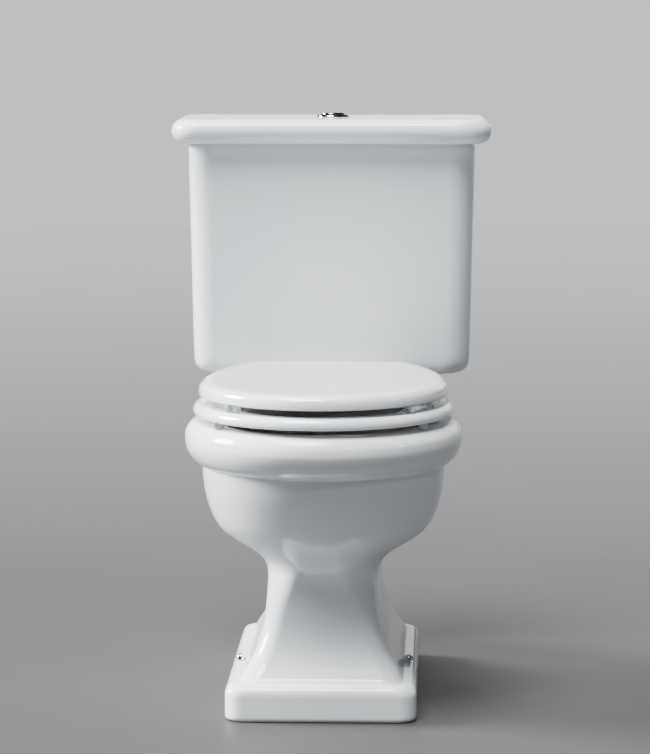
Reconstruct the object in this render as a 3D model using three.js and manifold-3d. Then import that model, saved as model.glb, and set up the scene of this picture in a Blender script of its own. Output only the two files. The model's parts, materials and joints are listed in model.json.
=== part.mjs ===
// Close coupled toilet: a glazed china pan with a roll rim, a china tank bolted onto its rear deck,
// a hinged seat and lid, and the flush and fill valves inside the tank.
// Millimetres, +Z up. The wall is behind the toilet at +Y, the front of the rim points to -Y,
// and the origin is on the floor under the centre of the whole toilet.
import * as THREE from "three";
import { mergeVertices } from "three/addons/utils/BufferGeometryUtils.js";
import Module from "manifold-3d";

const wasm = await Module();
wasm.setup();

// ---------------------------------------------------------------- driving dimensions
const PROJECTION = 700; // from the wall to the front of the rim
const RIM_Z = 402.5; // top of the china rim and of the rear deck
const RIM_HALF = 192.5; // half the width over the roll rim
const RIM_MID = 485; // distance from the wall of the rim's widest place
const PLINTH_HALF = 131.5;
const PLINTH_FRONT = 622.5; // distances from the wall
const PLINTH_BACK = 150;
const PLINTH_TOP = 50;
const TANK_BOTTOM = 427;
const TANK_TOP = 768;
const TANK_HALF = 211.5; // at the top; the tank narrows downwards
const TANK_FRONT = 192;
const TANK_BACK = 6;
const TANK_WALL = 10;
const TANK_FLOOR = TANK_BOTTOM + 14; // inside face of the tank's floor
const TANK_LID_HALF = 235.5;
const TANK_LID_FRONT = 215;
const OVERALL_Z = 804;
const OUTLET_Z = 185; // height of the centre of the outlet spigot
const TRAP_BORE = 40; // inner radius of the trapway
const CHINA = 13; // wall thickness of the casting
const VALVE_W = 105; // flush valve and buttons: distance from the wall
const COUPLING_X = 75; // tank bolts, each side of the centre
const INLET_X = -150; // fill valve
const INLET_W = 80;
const HINGE_X = 77.5; // hinge posts, each side of the centre
const HINGE_W = 262; // hinge axis: distance from the wall
const HINGE_Z = 434;
const SCREW_X = 118.5; // floor screws, each side of the centre
const SCREW_W = 440;
const RING_BOTTOM = 411.4;
const RING_TOP = 430;
const LID_BOTTOM = 437.4;
const LID_TOP = 457;
const FIT = 0.3; // gap between pieces that touch
const QUARTER = 7; // points round one corner, or one quarter, of a large section
const TAU = 2 * Math.PI;

const yOf = (fromWall) => PROJECTION / 2 - fromWall;

// ---------------------------------------------------------------- materials
const finish = (color, roughness, metalness) =>
  new THREE.MeshStandardMaterial({ color, roughness, metalness });
const china = finish(0xe9ecee, 0.08, 0);
const seatPaint = finish(0xeceef0, 0.15, 0);
const chrome = finish(0xc9ccd0, 0.12, 1);
const steel = finish(0xa9abad, 0.35, 1);
const rubber = finish(0x2b2b2b, 0.85, 0);
const whitePlastic = finish(0xe4e4e0, 0.4, 0);
const bluePlastic = finish(0x3f78b5, 0.4, 0);
const clearBuffer = finish(0xdfe3e4, 0.3, 0);

// ---------------------------------------------------------------- joining and cutting
function solid(geometry) {
  const bare = geometry.index ? geometry.toNonIndexed() : geometry.clone();
  bare.deleteAttribute("normal");
  bare.deleteAttribute("uv");
  const merged = mergeVertices(bare, 1e-3);
  return new wasm.Manifold(
    new wasm.Mesh({
      numProp: 3,
      vertProperties: merged.attributes.position.array,
      triVerts: new Uint32Array(merged.index.array),
    }),
  );
}

function geometryOf(made) {
  const mesh = made.getMesh();
  return new THREE.BufferGeometry()
    .setAttribute("position", new THREE.BufferAttribute(mesh.vertProperties, 3))
    .setIndex(new THREE.BufferAttribute(mesh.triVerts, 1));
}

const join = (...geometries) => geometries.map(solid).reduce((a, b) => a.add(b));
const cut = (from, ...tools) => tools.map(solid).reduce((a, b) => a.subtract(b), from);

// ---------------------------------------------------------------- basic shapes
// Each is placed by the centre of its foot: x, y and the z of its lowest face.
const rod = (radius, z0, z1, x = 0, y = 0, sides = 16) =>
  new THREE.CylinderGeometry(radius, radius, z1 - z0, sides)
    .rotateX(Math.PI / 2)
    .translate(x, y, (z0 + z1) / 2);

const rodAlongX = (radius, x0, x1, y, z, sides = 12) =>
  new THREE.CylinderGeometry(radius, radius, x1 - x0, sides)
    .rotateZ(Math.PI / 2)
    .translate((x0 + x1) / 2, y, z);

const rodAlongY = (radius, y0, y1, x, z, sides = 12) =>
  new THREE.CylinderGeometry(radius, radius, y1 - y0, sides).translate(x, (y0 + y1) / 2, z);

const box = (x0, x1, y0, y1, z0, z1) =>
  new THREE.BoxGeometry(x1 - x0, y1 - y0, z1 - z0).translate(
    (x0 + x1) / 2,
    (y0 + y1) / 2,
    (z0 + z1) / 2,
  );

// A turned piece: profile is a closed list of [radius, z], upwards on its outside.
function turned(profile, x = 0, y = 0, sides = 24) {
  const outline = [...profile, profile[0]].map(([r, z]) => new THREE.Vector2(r, z));
  return new THREE.LatheGeometry(outline, sides).rotateX(Math.PI / 2).translate(x, y, 0);
}

const washer = (inner, outer, z0, z1, x = 0, y = 0, sides = 20) =>
  turned([[inner, z0], [outer, z0], [outer, z1], [inner, z1]], x, y, sides);

// Directions of the points round one quarter. They stop short of the axes, so quarters never meet.
const QUARTER_ANGLES = Array.from({ length: QUARTER }, (_, i) =>
  THREE.MathUtils.degToRad(2 + (86 * i) / (QUARTER - 1)),
);
const QUARTER_SIGNS = [[1, 1], [-1, 1], [-1, -1], [1, -1]];

// One level of a casting, as points around it. round runs from 0, a rounded rectangle, to 1, an oval.
function level({ z, half, front, back, mid = (front + back) / 2, round = 0, corner = 26 }) {
  return QUARTER_SIGNS.flatMap(([sx, sy]) => {
    const length = sy < 0 ? front - mid : mid - back;
    const rx = THREE.MathUtils.lerp(Math.min(corner, half), half, round);
    const ry = THREE.MathUtils.lerp(Math.min(corner, length), length, round);
    const points = QUARTER_ANGLES.map((angle) => {
      const x = half - rx + rx * Math.cos(angle);
      const y = length - ry + ry * Math.sin(angle);
      return new THREE.Vector3(sx * x, yOf(mid) + sy * y, z);
    });
    return sx * sy < 0 ? points.reverse() : points;
  });
}

// A closed body through levels listed from the bottom up.
function loft(levels) {
  const count = levels[0].length;
  const points = levels.flat();
  const faces = [];
  for (let k = 0; k + 1 < levels.length; k++) {
    for (let i = 0; i < count; i++) {
      const [a, b] = [k * count + i, k * count + ((i + 1) % count)];
      faces.push(a, b, b + count, a, b + count, a + count);
    }
  }
  const capPoint = (ring) =>
    ring.reduce((sum, p) => sum.add(p), new THREE.Vector3()).divideScalar(count);
  const bottom = points.push(capPoint(levels[0])) - 1;
  const top = points.push(capPoint(levels.at(-1))) - 1;
  const last = (levels.length - 1) * count;
  for (let i = 0; i < count; i++) {
    const next = (i + 1) % count;
    faces.push(bottom, next, i, top, last + i, last + next);
  }
  return new THREE.BufferGeometry().setFromPoints(points).setIndex(faces);
}

const castBody = (profile, shape) => loft(profile.map((row) => level(shape(row))));

// ---------------------------------------------------------------- pan
// Rows of [z, half width, front, back, roundness]; front and back are distances from the wall.
const PLINTH_AND_PEDESTAL = [
  [0, PLINTH_HALF - 2.5, PLINTH_FRONT - 2.5, PLINTH_BACK + 2.5, 0],
  [3, PLINTH_HALF, PLINTH_FRONT, PLINTH_BACK, 0],
  [38, PLINTH_HALF, PLINTH_FRONT, PLINTH_BACK, 0],
  [46, PLINTH_HALF - 2.5, PLINTH_FRONT - 2.5, PLINTH_BACK + 2.5, 0],
  [PLINTH_TOP, PLINTH_HALF - 9, PLINTH_FRONT - 9, PLINTH_BACK + 9, 0],
  [PLINTH_TOP + 1, 110, 603, 169, 0],
  [58, 108, 599, 173, 0],
  [73, 101, 590, 182, 0],
  [90, 93, 582, 190, 0.05],
  [110, 86, 575, 197, 0.12],
  [130, 81, 570, 202, 0.2],
  [155, 77.5, 567, 205, 0.34],
  [176, 76.5, 568, 206, 0.5],
  [192, 78.5, 573, 212, 0.66],
];
const BOWL_OUTSIDE = [
  [205, 86, 581, 232, 0.79],
  [220, 103, 593, 254, 0.88],
  [231, 122, 603, 268, 0.93],
  [243, 138, 613, 276, 0.96],
  [261, 151.5, 627, 278, 0.98],
  [287, 161.5, 643, 275, 1],
  [311, 166, 655, 273, 1],
  [339, 168.5, 663, 271, 1],
];
const ROLL_RIM = [
  [343.5, 174, 671, 269, 1],
  [348, 180.5, 681, 266, 1],
  [357, 187.5, 691, 262, 1],
  [370, 191.7, 697.5, 260, 1],
  [379, RIM_HALF, PROJECTION, 259.5, 1],
  [390, 190.7, 698, 261, 1],
  [398, 186, 693, 264, 1],
  [RIM_Z, 177, 684, 270, 1],
];
const BOWL_INSIDE = [
  [98, 26, 445, 392],
  [108, 37, 462, 378],
  [130, 43, 476, 368],
  [160, 47, 488, 358],
  [190, 53, 503, 350],
  [215, 66, 527, 343],
  [240, 88, 560, 334],
  [270, 112, 594, 324],
  [300, 131, 620, 314],
  [320, 141, 634, 309],
  [340, 147, 645, 306],
  [352, 150, 652, 305],
  [366, 150, 655, 304],
];
const RIM_OPENING = { half: 132, front: 640, back: 322, mid: RIM_MID, round: 1 };

// The widest place moves from the plinth's middle to the bowl's as the pan rises.
function panMid(z) {
  const rise = THREE.MathUtils.smoothstep(z, 176, 261);
  return THREE.MathUtils.lerp((PLINTH_FRONT + PLINTH_BACK) / 2, RIM_MID, rise);
}

const panShape = (grow) => ([z, half, front, back, round]) => ({
  z,
  half: half + grow,
  front: front + grow,
  back: back - grow,
  mid: panMid(z),
  round,
});

const bowlShape = (grow) => ([z, half, front, back]) => ({
  z: z < 100 ? z - grow : z,
  half: half + grow,
  front: front + grow,
  back: back - grow,
  mid: z < 200 ? (front + back) / 2 : THREE.MathUtils.lerp((front + back) / 2, RIM_MID, 0.5),
  round: 1,
});

const opening = (grow, z0, z1) =>
  castBody([z0, z1], (z) => ({
    ...RIM_OPENING,
    z,
    half: RIM_OPENING.half + grow,
    front: RIM_OPENING.front + grow,
    back: RIM_OPENING.back - grow,
  }));

// The trapway rises behind the sump, turns over the weir and leaves level through the spigot.
const TRAP_ROUTE = new THREE.CatmullRomCurve3(
  [
    [440, 146],
    [385, 140],
    [325, 165],
    [276, 222],
    [234, 268],
    [192, 264],
    [158, 225],
    [122, 193],
    [82, OUTLET_Z],
    [20, OUTLET_Z],
  ].map(([w, z]) => new THREE.Vector3(0, yOf(w), z)),
);

function trapTube(radius, steps = 14) {
  const ring = new THREE.Shape().absarc(0, 0, radius, 0, TAU);
  return new THREE.ExtrudeGeometry(ring, {
    steps,
    extrudePath: TRAP_ROUTE,
    bevelEnabled: false,
    curveSegments: 10,
  });
}

const DECK = [
  [346, 98, 50],
  [354, 107, 39],
  [366, 112, 32],
  [390, 112, 30],
  [399, 109, 33],
  [RIM_Z, 101, 41],
];
const deckShape = ([z, half, back]) => ({ z, half, front: 345, back, corner: 32 });
const DECK_PLATE_Z = 384; // underside of the deck plate, where the nuts bear
const DECK_POCKET = [44, 99]; // hollows under the deck plate, each side of the centre
const FLUSH_INLET = 31; // radii of the holes through the china
const BOLT_HOLE = 6;
const SCREW_HOLE = 5;
const FLUSH_VALVE_HOLE = 28.5;
const FILL_VALVE_HOLE = 11.5;

// The neck carries the deck behind the bowl and hides the trapway. Rows of [z, half width, back].
const NECK = [
  [170, 66, 206],
  [230, 62, 182],
  [290, 62, 160],
  [325, 70, 132],
  [350, 92, 70],
];
const neckShape = (grow) => ([z, half, back]) => ({
  z: grow < 0 ? z - CHINA : z,
  half: half + grow,
  front: 340 + grow,
  back: back - grow,
  corner: 34,
});

function pan() {
  const outside = castBody([...PLINTH_AND_PEDESTAL, ...BOWL_OUTSIDE, ...ROLL_RIM], panShape(0));
  const hollowRows = [...PLINTH_AND_PEDESTAL.slice(7), ...BOWL_OUTSIDE].filter((_, i) => i % 2 === 0);
  const hollow = loft([
    level({ z: -1, half: 108, front: 600, back: 172 }),
    level({ z: 40, half: 106, front: 598, back: 174 }),
    ...hollowRows.map((row) => level(panShape(-CHINA)(row))),
  ]);
  const spigotEnd = rodAlongY(TRAP_BORE + CHINA, yOf(60), yOf(20), 0, OUTLET_Z, 36);
  const shell = solid(outside)
    .add(solid(castBody(DECK, deckShape)))
    .add(solid(castBody(NECK, neckShape(0))))
    .subtract(solid(hollow))
    .subtract(solid(castBody(NECK, neckShape(-CHINA))))
    .add(join(castBody(BOWL_INSIDE, bowlShape(CHINA - 1)), trapTube(TRAP_BORE + CHINA), spigotEnd));
  const flushChannel = solid(opening(36, 350, 386)).subtract(solid(opening(12, 340, 390)));
  const spigotBore = rodAlongY(TRAP_BORE, yOf(60), yOf(19), 0, OUTLET_Z, 36);
  const inlet = rod(FLUSH_INLET, 362, RIM_Z + 1, 0, yOf(VALVE_W), 28);
  const duct = box(-30, 30, yOf(300), yOf(VALVE_W), 362, 386);
  const holes = [];
  for (const side of [-1, 1]) {
    const [x0, x1] = DECK_POCKET.map((x) => x * side).sort((a, b) => a - b);
    holes.push(
      box(x0, x1, yOf(280), yOf(52), 340, DECK_PLATE_Z),
      rod(BOLT_HOLE, 380, 410, side * COUPLING_X, yOf(VALVE_W)),
      rod(BOLT_HOLE, 380, 410, side * HINGE_X, yOf(HINGE_W)),
      rod(SCREW_HOLE, -1, PLINTH_TOP + 2, side * SCREW_X, yOf(SCREW_W)),
    );
  }
  return cut(
    shell.subtract(flushChannel),
    castBody(BOWL_INSIDE, bowlShape(0)),
    opening(0, 350, 410),
    trapTube(TRAP_BORE),
    spigotBore,
    inlet,
    duct,
    ...holes,
  );
}

// ---------------------------------------------------------------- tank and its lid
// Rows of [z, inset]: how far the tank's sides and front stand in from their widest place.
const TANK_FOOT = [
  [TANK_BOTTOM, 28],
  [TANK_BOTTOM + 4, 17],
  [TANK_BOTTOM + 12, 10],
  [TANK_BOTTOM + 26, 6.5],
];

const tankShape = (grow) => ([z, inset]) => ({
  z,
  half: TANK_HALF - inset - grow,
  front: TANK_FRONT - inset * 0.6 - grow,
  back: TANK_BACK + grow,
  corner: 36 - grow,
});

function tank() {
  const outside = castBody([...TANK_FOOT, [TANK_TOP, 0]], tankShape(0));
  const inside = castBody(
    [[TANK_FLOOR, 14], [TANK_FLOOR + 15, 6.5], [TANK_TOP + 1, 0]],
    tankShape(TANK_WALL),
  );
  return cut(
    solid(outside),
    inside,
    rod(FLUSH_VALVE_HOLE, 420, 450, 0, yOf(VALVE_W), 28),
    rod(BOLT_HOLE, 420, 450, COUPLING_X, yOf(VALVE_W)),
    rod(BOLT_HOLE, 420, 450, -COUPLING_X, yOf(VALVE_W)),
    rod(FILL_VALVE_HOLE, 420, 450, INLET_X, yOf(INLET_W), 20),
  );
}

const TANK_LID_PLATE = 788; // underside of the tank lid's plate
const BUTTON_HOLE = 21.5;

// A bullnose edge all round: half a circle in section, except at the wall.
function tankLid() {
  const edge = (OVERALL_Z - TANK_TOP - FIT) / 2;
  const middle = TANK_TOP + FIT + edge;
  const rows = [-90, -60, -30, 0, 30, 60, 90].map((degrees) => {
    const angle = THREE.MathUtils.degToRad(degrees);
    return [middle + edge * Math.sin(angle), edge * (1 - Math.cos(angle))];
  });
  const outside = castBody(rows, ([z, inset]) => ({
    z,
    half: TANK_LID_HALF - inset,
    front: TANK_LID_FRONT - inset,
    back: inset * 0.4,
    corner: 46 - inset,
  }));
  const recess = castBody([TANK_TOP - 1, TANK_LID_PLATE], (z) => ({
    z,
    half: TANK_HALF - TANK_WALL - 3,
    front: TANK_FRONT - TANK_WALL - 3,
    back: TANK_BACK + TANK_WALL + 3,
    corner: 24,
  }));
  return cut(solid(outside), recess, rod(BUTTON_HOLE, 780, 810, 0, yOf(VALVE_W), 28));
}

// ---------------------------------------------------------------- seat and lid
// An oval that is cut straight across at its hinge end, drawn from one rear corner to the other.
function seatLevel(z, half, front, hinge) {
  const middle = 490; // the widest place
  const tail = 293; // the rear half-oval would reach this far if it weren't cut
  const cutAngle = Math.asin((middle - hinge) / tail);
  const count = 4 * QUARTER;
  return Array.from({ length: count }, (_, i) => {
    const angle = Math.PI - cutAngle + ((Math.PI + 2 * cutAngle) * i) / (count - 1);
    const length = Math.sin(angle) < 0 ? front - middle : tail;
    return new THREE.Vector3(half * Math.cos(angle), yOf(middle) + length * Math.sin(angle), z);
  });
}

function seatRing() {
  const [half, front, hinge] = [181, 692, 276];
  const outside = loft([
    seatLevel(RING_BOTTOM, half - 3, front - 3, hinge + 1),
    seatLevel(RING_BOTTOM + 4, half, front, hinge),
    seatLevel(RING_TOP - 8, half - 2, front - 2, hinge),
    seatLevel(RING_TOP, half - 12, front - 12, hinge + 3),
  ]);
  const hole = castBody([RING_BOTTOM - 1, RING_TOP + 1], (z) => ({
    z,
    half: 111,
    front: 627,
    back: 348,
    mid: RIM_MID,
    round: 1,
  }));
  return cut(solid(outside), hole);
}

function seatLid() {
  const [half, front, hinge] = [173, 686, 272];
  return loft([
    seatLevel(LID_BOTTOM, half - 2, front - 2, hinge + 1),
    seatLevel(LID_BOTTOM + 3, half, front, hinge),
    seatLevel(LID_TOP - 9, half - 2.5, front - 2.5, hinge),
    seatLevel(LID_TOP - 2.5, half - 9, front - 9, hinge + 2),
    seatLevel(LID_TOP, half - 20, front - 20, hinge + 6),
  ]);
}

const buffer = (x, w, z0, z1, width = 18, depth = 24) =>
  box(x - width / 2, x + width / 2, yOf(w) - depth / 2, yOf(w) + depth / 2, z0, z1);

// ---------------------------------------------------------------- hinge
const HINGE_ROD = 4;
const KNUCKLE = 7;

const knuckle = (x0, x1) =>
  cut(
    join(rodAlongX(KNUCKLE, x0, x1, yOf(HINGE_W), HINGE_Z, 16)),
    rodAlongX(HINGE_ROD + FIT, x0 - 1, x1 + 1, yOf(HINGE_W), HINGE_Z),
  );

// The ring's leaf runs under the ring, turns up behind it and ends in a knuckle outside the post.
function ringLeaf(side) {
  const [x0, x1] = side < 0 ? [-105, -88] : [88, 105];
  const plate = box(x0, x1, yOf(330), yOf(267.5), RING_BOTTOM - 3.3, RING_BOTTOM - FIT);
  const tab = box(x0, x1, yOf(272.5), yOf(267.5), RING_BOTTOM - 3.3, HINGE_Z);
  return cut(
    knuckle(x0, x1).add(join(plate, tab)),
    rodAlongX(HINGE_ROD + FIT, x0 - 1, x1 + 1, yOf(HINGE_W), HINGE_Z),
  );
}

// The lid's leaf lies against the underside of the lid, with its knuckle inside the post.
function lidLeaf(side) {
  const [x0, x1] = side < 0 ? [-67, -50] : [50, 67];
  const plate = box(x0, x1, yOf(330), yOf(265), LID_BOTTOM - 3, LID_BOTTOM - FIT);
  return cut(
    knuckle(x0, x1).add(solid(plate)),
    rodAlongX(HINGE_ROD + FIT, x0 - 1, x1 + 1, yOf(HINGE_W), HINGE_Z),
  );
}

// Post with a foot flange on the deck, an eye for the rod, and its stud down through the deck.
function hingePost(x) {
  const y = yOf(HINGE_W);
  const foot = RIM_Z + FIT;
  const profile = [
    [0, DECK_PLATE_Z - 26],
    [4, DECK_PLATE_Z - 26],
    [4, foot],
    [19, foot],
    [19, foot + 2.5],
    [15, foot + 4.5],
    [7.5, foot + 6],
    [7, HINGE_Z],
    [0, HINGE_Z],
  ];
  const outline = profile.map(([r, z]) => new THREE.Vector2(r, z));
  const post = new THREE.LatheGeometry(outline, 20).rotateX(Math.PI / 2).translate(x, y, 0);
  return cut(
    join(post, rodAlongX(8, x - 7.5, x + 7.5, y, HINGE_Z, 16)),
    rodAlongX(HINGE_ROD + FIT, x - 9, x + 9, y, HINGE_Z),
  );
}

function hingeRod() {
  const [end, y] = [108, yOf(HINGE_W)];
  return join(
    rodAlongX(HINGE_ROD, -end, end, y, HINGE_Z),
    new THREE.SphereGeometry(6.5, 14, 8).translate(end + 3, y, HINGE_Z),
    new THREE.SphereGeometry(6.5, 14, 8).translate(-end - 3, y, HINGE_Z),
  );
}

// ---------------------------------------------------------------- fasteners
function wingNut(x, y, top, boltRadius) {
  const hub = rod(boltRadius + 4.5, top - 10, top, x, y, 16);
  const wings = box(x - 20, x + 20, y - 1.5, y + 1.5, top - 14, top - 3);
  return cut(join(hub, wings), rod(boltRadius + FIT, top - 20, top + 1, x, y));
}

function hexNut(x, y, z0, z1, bore, acrossCorners) {
  return cut(join(rod(acrossCorners, z0, z1, x, y, 6)), rod(bore, z0 - 1, z1 + 1, x, y, 20));
}

const couplingBolt = (x) =>
  join(
    rod(4.5, DECK_PLATE_Z - 24, TANK_FLOOR + 5, x, yOf(VALVE_W)),
    rod(11, TANK_FLOOR + 4.3, TANK_FLOOR + 9, x, yOf(VALVE_W), 18),
  );

const floorScrew = (x) =>
  join(
    rod(4, 1, PLINTH_TOP + 2, x, yOf(SCREW_W), 12),
    rod(5.5, PLINTH_TOP + 1.5, PLINTH_TOP + 5, x, yOf(SCREW_W), 12),
  );

// A hollow domed cap over the head of a floor screw.
const screwCap = (x) =>
  turned(
    [
      [5.9, PLINTH_TOP + 1.4],
      [7.2, PLINTH_TOP + 1.4],
      [6.8, PLINTH_TOP + 6],
      [4.5, PLINTH_TOP + 8.6],
      [0.01, PLINTH_TOP + 9.6],
      [0.01, PLINTH_TOP + 5.6],
      [5.9, PLINTH_TOP + 5.6],
    ],
    x,
    yOf(SCREW_W),
    16,
  );

// ---------------------------------------------------------------- flush valve
const PUSH_X = 14; // push rods, each side of the centre
const PIVOT_X = 30; // rocker pivots
const LIFT_X = 46; // lift rods
const BRIDGE_Z = 600;
const PIVOT_Z = 620;
const VALVE_SEAT_Z = 455;

function flushValveBody() {
  const y = yOf(VALVE_W);
  const base = turned(
    [
      [23, 388],
      [27, 388],
      [27, TANK_FLOOR + 3.3],
      [42, TANK_FLOOR + 3.3],
      [42, TANK_FLOOR + 8],
      [27, TANK_FLOOR + 9],
      [26, VALVE_SEAT_Z],
      [23, VALVE_SEAT_Z],
    ],
    0,
    y,
  );
  const bridge = washer(14, 40, BRIDGE_Z, BRIDGE_Z + 6, 0, y);
  const columns = [45, 135, 225, 315].map((degrees) => {
    const angle = THREE.MathUtils.degToRad(degrees);
    return rod(4, TANK_FLOOR + 5, BRIDGE_Z + 3, 36 * Math.cos(angle), y + 36 * Math.sin(angle), 8);
  });
  const pivots = [-1, 1].flatMap((side) => [
    box(side * PIVOT_X - 4, side * PIVOT_X + 4, y - 9, y - 6, BRIDGE_Z + 4, PIVOT_Z + 4),
    box(side * PIVOT_X - 4, side * PIVOT_X + 4, y + 6, y + 9, BRIDGE_Z + 4, PIVOT_Z + 4),
    rodAlongY(1.8, y - 7, y + 7, side * PIVOT_X, PIVOT_Z, 10),
  ]);
  const guides = [-1, 1].map((side) => {
    const [x0, x1] = [34 * side, 52 * side].sort((a, b) => a - b);
    return box(x0, x1, y + 1, y + 14, BRIDGE_Z, BRIDGE_Z + 6);
  });
  return cut(
    join(base, bridge, ...columns, ...pivots, ...guides),
    ...[-1, 1].map((side) => rod(3.2, BRIDGE_Z - 2, BRIDGE_Z + 8, side * LIFT_X, y + 7.5)),
  );
}

// Rocker: the push rod presses its inner end, and its outer end raises a lift rod.
function flushLever(side) {
  const y = yOf(VALVE_W);
  const [x0, x1] = [PUSH_X * side - 3 * side, (LIFT_X + 3) * side].sort((a, b) => a - b);
  return cut(
    join(
      box(x0, x1, y - 4, y + 4, PIVOT_Z - 2, PIVOT_Z + 2),
      rodAlongY(4, y - 4, y + 4, side * PIVOT_X, PIVOT_Z),
    ),
    rodAlongY(2.2, y - 6, y + 6, side * PIVOT_X, PIVOT_Z, 10),
  );
}

// A lift rod stands beside its lever, with a head that reaches over the lever's end.
const liftRod = (side, foot) => {
  const y = yOf(VALVE_W) + 7.5;
  return [
    rod(2.5, foot, PIVOT_Z + 8, side * LIFT_X, y, 10),
    box(side * LIFT_X - 3, side * LIFT_X + 3, y - 9, y + 2, PIVOT_Z + 3.2, PIVOT_Z + 8),
  ];
};

function overflowTube() {
  const y = yOf(VALVE_W);
  const tube = washer(10, 12.5, VALVE_SEAT_Z + 4.6, BRIDGE_Z - 8, 0, y);
  const shoe = washer(10, 22, VALVE_SEAT_Z + 4.6, VALVE_SEAT_Z + 8, 0, y);
  const arm = box(11, LIFT_X + 2, y - 2, y + 9.5, VALVE_SEAT_Z + 16, VALVE_SEAT_Z + 22);
  return join(tube, shoe, arm, ...liftRod(1, VALVE_SEAT_Z + 18));
}

// ---------------------------------------------------------------- buttons
const BUTTON_R = 18;
const COLLAR_FLOOR = 784;

function buttonCollar() {
  const y = yOf(VALVE_W);
  const bezel = turned(
    [
      [18.6, COLLAR_FLOOR - 4],
      [20.8, COLLAR_FLOOR - 4],
      [20.8, OVERALL_Z + FIT],
      [25, OVERALL_Z + FIT],
      [24.5, OVERALL_Z + 2.2],
      [20.5, OVERALL_Z + 4.5],
      [18.6, OVERALL_Z + 4.5],
    ],
    0,
    y,
    32,
  );
  const web = rod(19.5, COLLAR_FLOOR - 4, COLLAR_FLOOR, 0, y, 24);
  return cut(
    join(bezel, web),
    rod(3.2, 770, 790, -PUSH_X + 4, y, 12),
    rod(3.2, 770, 790, PUSH_X - 4, y, 12),
  );
}

// Half of a domed round button; side says which half.
function button(side) {
  const y = yOf(VALVE_W);
  const top = OVERALL_Z + 8;
  const outline = [
    [0, 797],
    [BUTTON_R, 797],
    [BUTTON_R, top - 3.5],
    [BUTTON_R - 2, top - 1.2],
    [8, top - 0.2],
    [0, top],
  ].map(([r, z]) => new THREE.Vector2(r, z));
  const whole = new THREE.LatheGeometry(outline, 32).rotateX(Math.PI / 2).translate(0, y, 0);
  const [x0, x1] = [0.4 * side, 30 * side].sort((a, b) => a - b);
  return solid(whole).intersect(solid(box(x0, x1, y - 30, y + 30, 780, 830)));
}

// The rod drops from the button and is cranked outwards to reach the rocker.
function pushRod(side) {
  const y = yOf(VALVE_W);
  const inner = (PUSH_X - 4) * side;
  const outer = PUSH_X * side;
  return join(
    rod(2.4, 700, 796.7, inner, y, 10),
    box(Math.min(inner, outer) - 2.4, Math.max(inner, outer) + 2.4, y - 2.4, y + 2.4, 698, 703),
    rod(2.4, PIVOT_Z + 2.5, 700, outer, y, 10),
  );
}

class Helix extends THREE.Curve {
  constructor(radius, z0, z1, turns, x, y) {
    super();
    Object.assign(this, { radius, z0, z1, turns, x, y });
  }
  getPoint(t, target = new THREE.Vector3()) {
    const angle = TAU * this.turns * t;
    const z = THREE.MathUtils.lerp(this.z0, this.z1, t);
    return target.set(
      this.x + this.radius * Math.cos(angle),
      this.y + this.radius * Math.sin(angle),
      z,
    );
  }
}

function buttonSpring(side) {
  const wire = new THREE.Shape().absarc(0, 0, 0.5, 0, TAU);
  const path = new Helix(4.6, COLLAR_FLOOR + 0.9, 796.1, 4, side * (PUSH_X - 4), yOf(VALVE_W));
  return new THREE.ExtrudeGeometry(wire, {
    steps: 36,
    extrudePath: path,
    bevelEnabled: false,
    curveSegments: 3,
  });
}

// ---------------------------------------------------------------- fill valve
const HEAD_Z = 640;
const ARM_Z = 668;
const ARM_PIVOT = 8; // pivot, measured from the riser's axis
const PLUNGER_ARM = 12; // plunger, measured from the pivot
const LINK_X = 42; // link rod, measured from the riser's axis
const FLOAT_BOTTOM = 560;

function fillValveBody() {
  return turned(
    [
      [6, 376],
      [10.3, 376],
      [10.3, TANK_FLOOR + 3.3],
      [17, TANK_FLOOR + 3.3],
      [17, TANK_FLOOR + 8],
      [13, TANK_FLOOR + 9],
      [13, HEAD_Z],
      [6, HEAD_Z],
    ],
    INLET_X,
    yOf(INLET_W),
    20,
  );
}

function fillValveHead() {
  const y = yOf(INLET_W);
  const pivotX = INLET_X + ARM_PIVOT;
  return cut(
    join(
      rod(19, HEAD_Z + FIT, HEAD_Z + 20, INLET_X, y, 20),
      box(pivotX - 4, pivotX + 4, y - 9, y - 6, HEAD_Z + 18, ARM_Z + 4),
      box(pivotX - 4, pivotX + 4, y + 6, y + 9, HEAD_Z + 18, ARM_Z + 4),
      rodAlongY(1.8, y - 7, y + 7, pivotX, ARM_Z, 10),
    ),
    rod(2.5 + 2 * FIT, HEAD_Z + 8, HEAD_Z + 22, pivotX - PLUNGER_ARM, y),
  );
}

// The pin that the arm's tail presses down to shut the water off.
const fillValvePlunger = () =>
  rod(2.5, HEAD_Z + 9, ARM_Z - 2 - FIT, INLET_X + ARM_PIVOT - PLUNGER_ARM, yOf(INLET_W), 12);

// The arm is forked, so that the link rod can slide in it as the arm tilts.
function fillValveArm() {
  const y = yOf(INLET_W);
  const [pivotX, linkX] = [INLET_X + ARM_PIVOT, INLET_X + LINK_X];
  return cut(
    join(
      box(pivotX - PLUNGER_ARM - 4, linkX + 9, y - 5, y + 5, ARM_Z - 2, ARM_Z + 2),
      rodAlongY(4, y - 5, y + 5, pivotX, ARM_Z),
    ),
    rodAlongY(2.2, y - 6, y + 6, pivotX, ARM_Z, 10),
    box(linkX - 7, linkX + 7, y - 2.8, y + 2.8, ARM_Z - 6, ARM_Z + 6),
  );
}

function floatCup() {
  const y = yOf(INLET_W);
  const top = FLOAT_BOTTOM + 55;
  const cup = turned(
    [
      [30, FLOAT_BOTTOM],
      [34, FLOAT_BOTTOM],
      [34, top],
      [14, top],
      [14, FLOAT_BOTTOM],
      [17, FLOAT_BOTTOM],
      [17, top - 4],
      [30, top - 4],
    ],
    INLET_X,
    y,
  );
  const lug = box(INLET_X + 33, INLET_X + LINK_X + 4, y - 4, y + 4, top - 8, top);
  return cut(join(cup, lug), rod(2 + FIT, top - 10, top + 1, INLET_X + LINK_X, y, 10));
}

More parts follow.
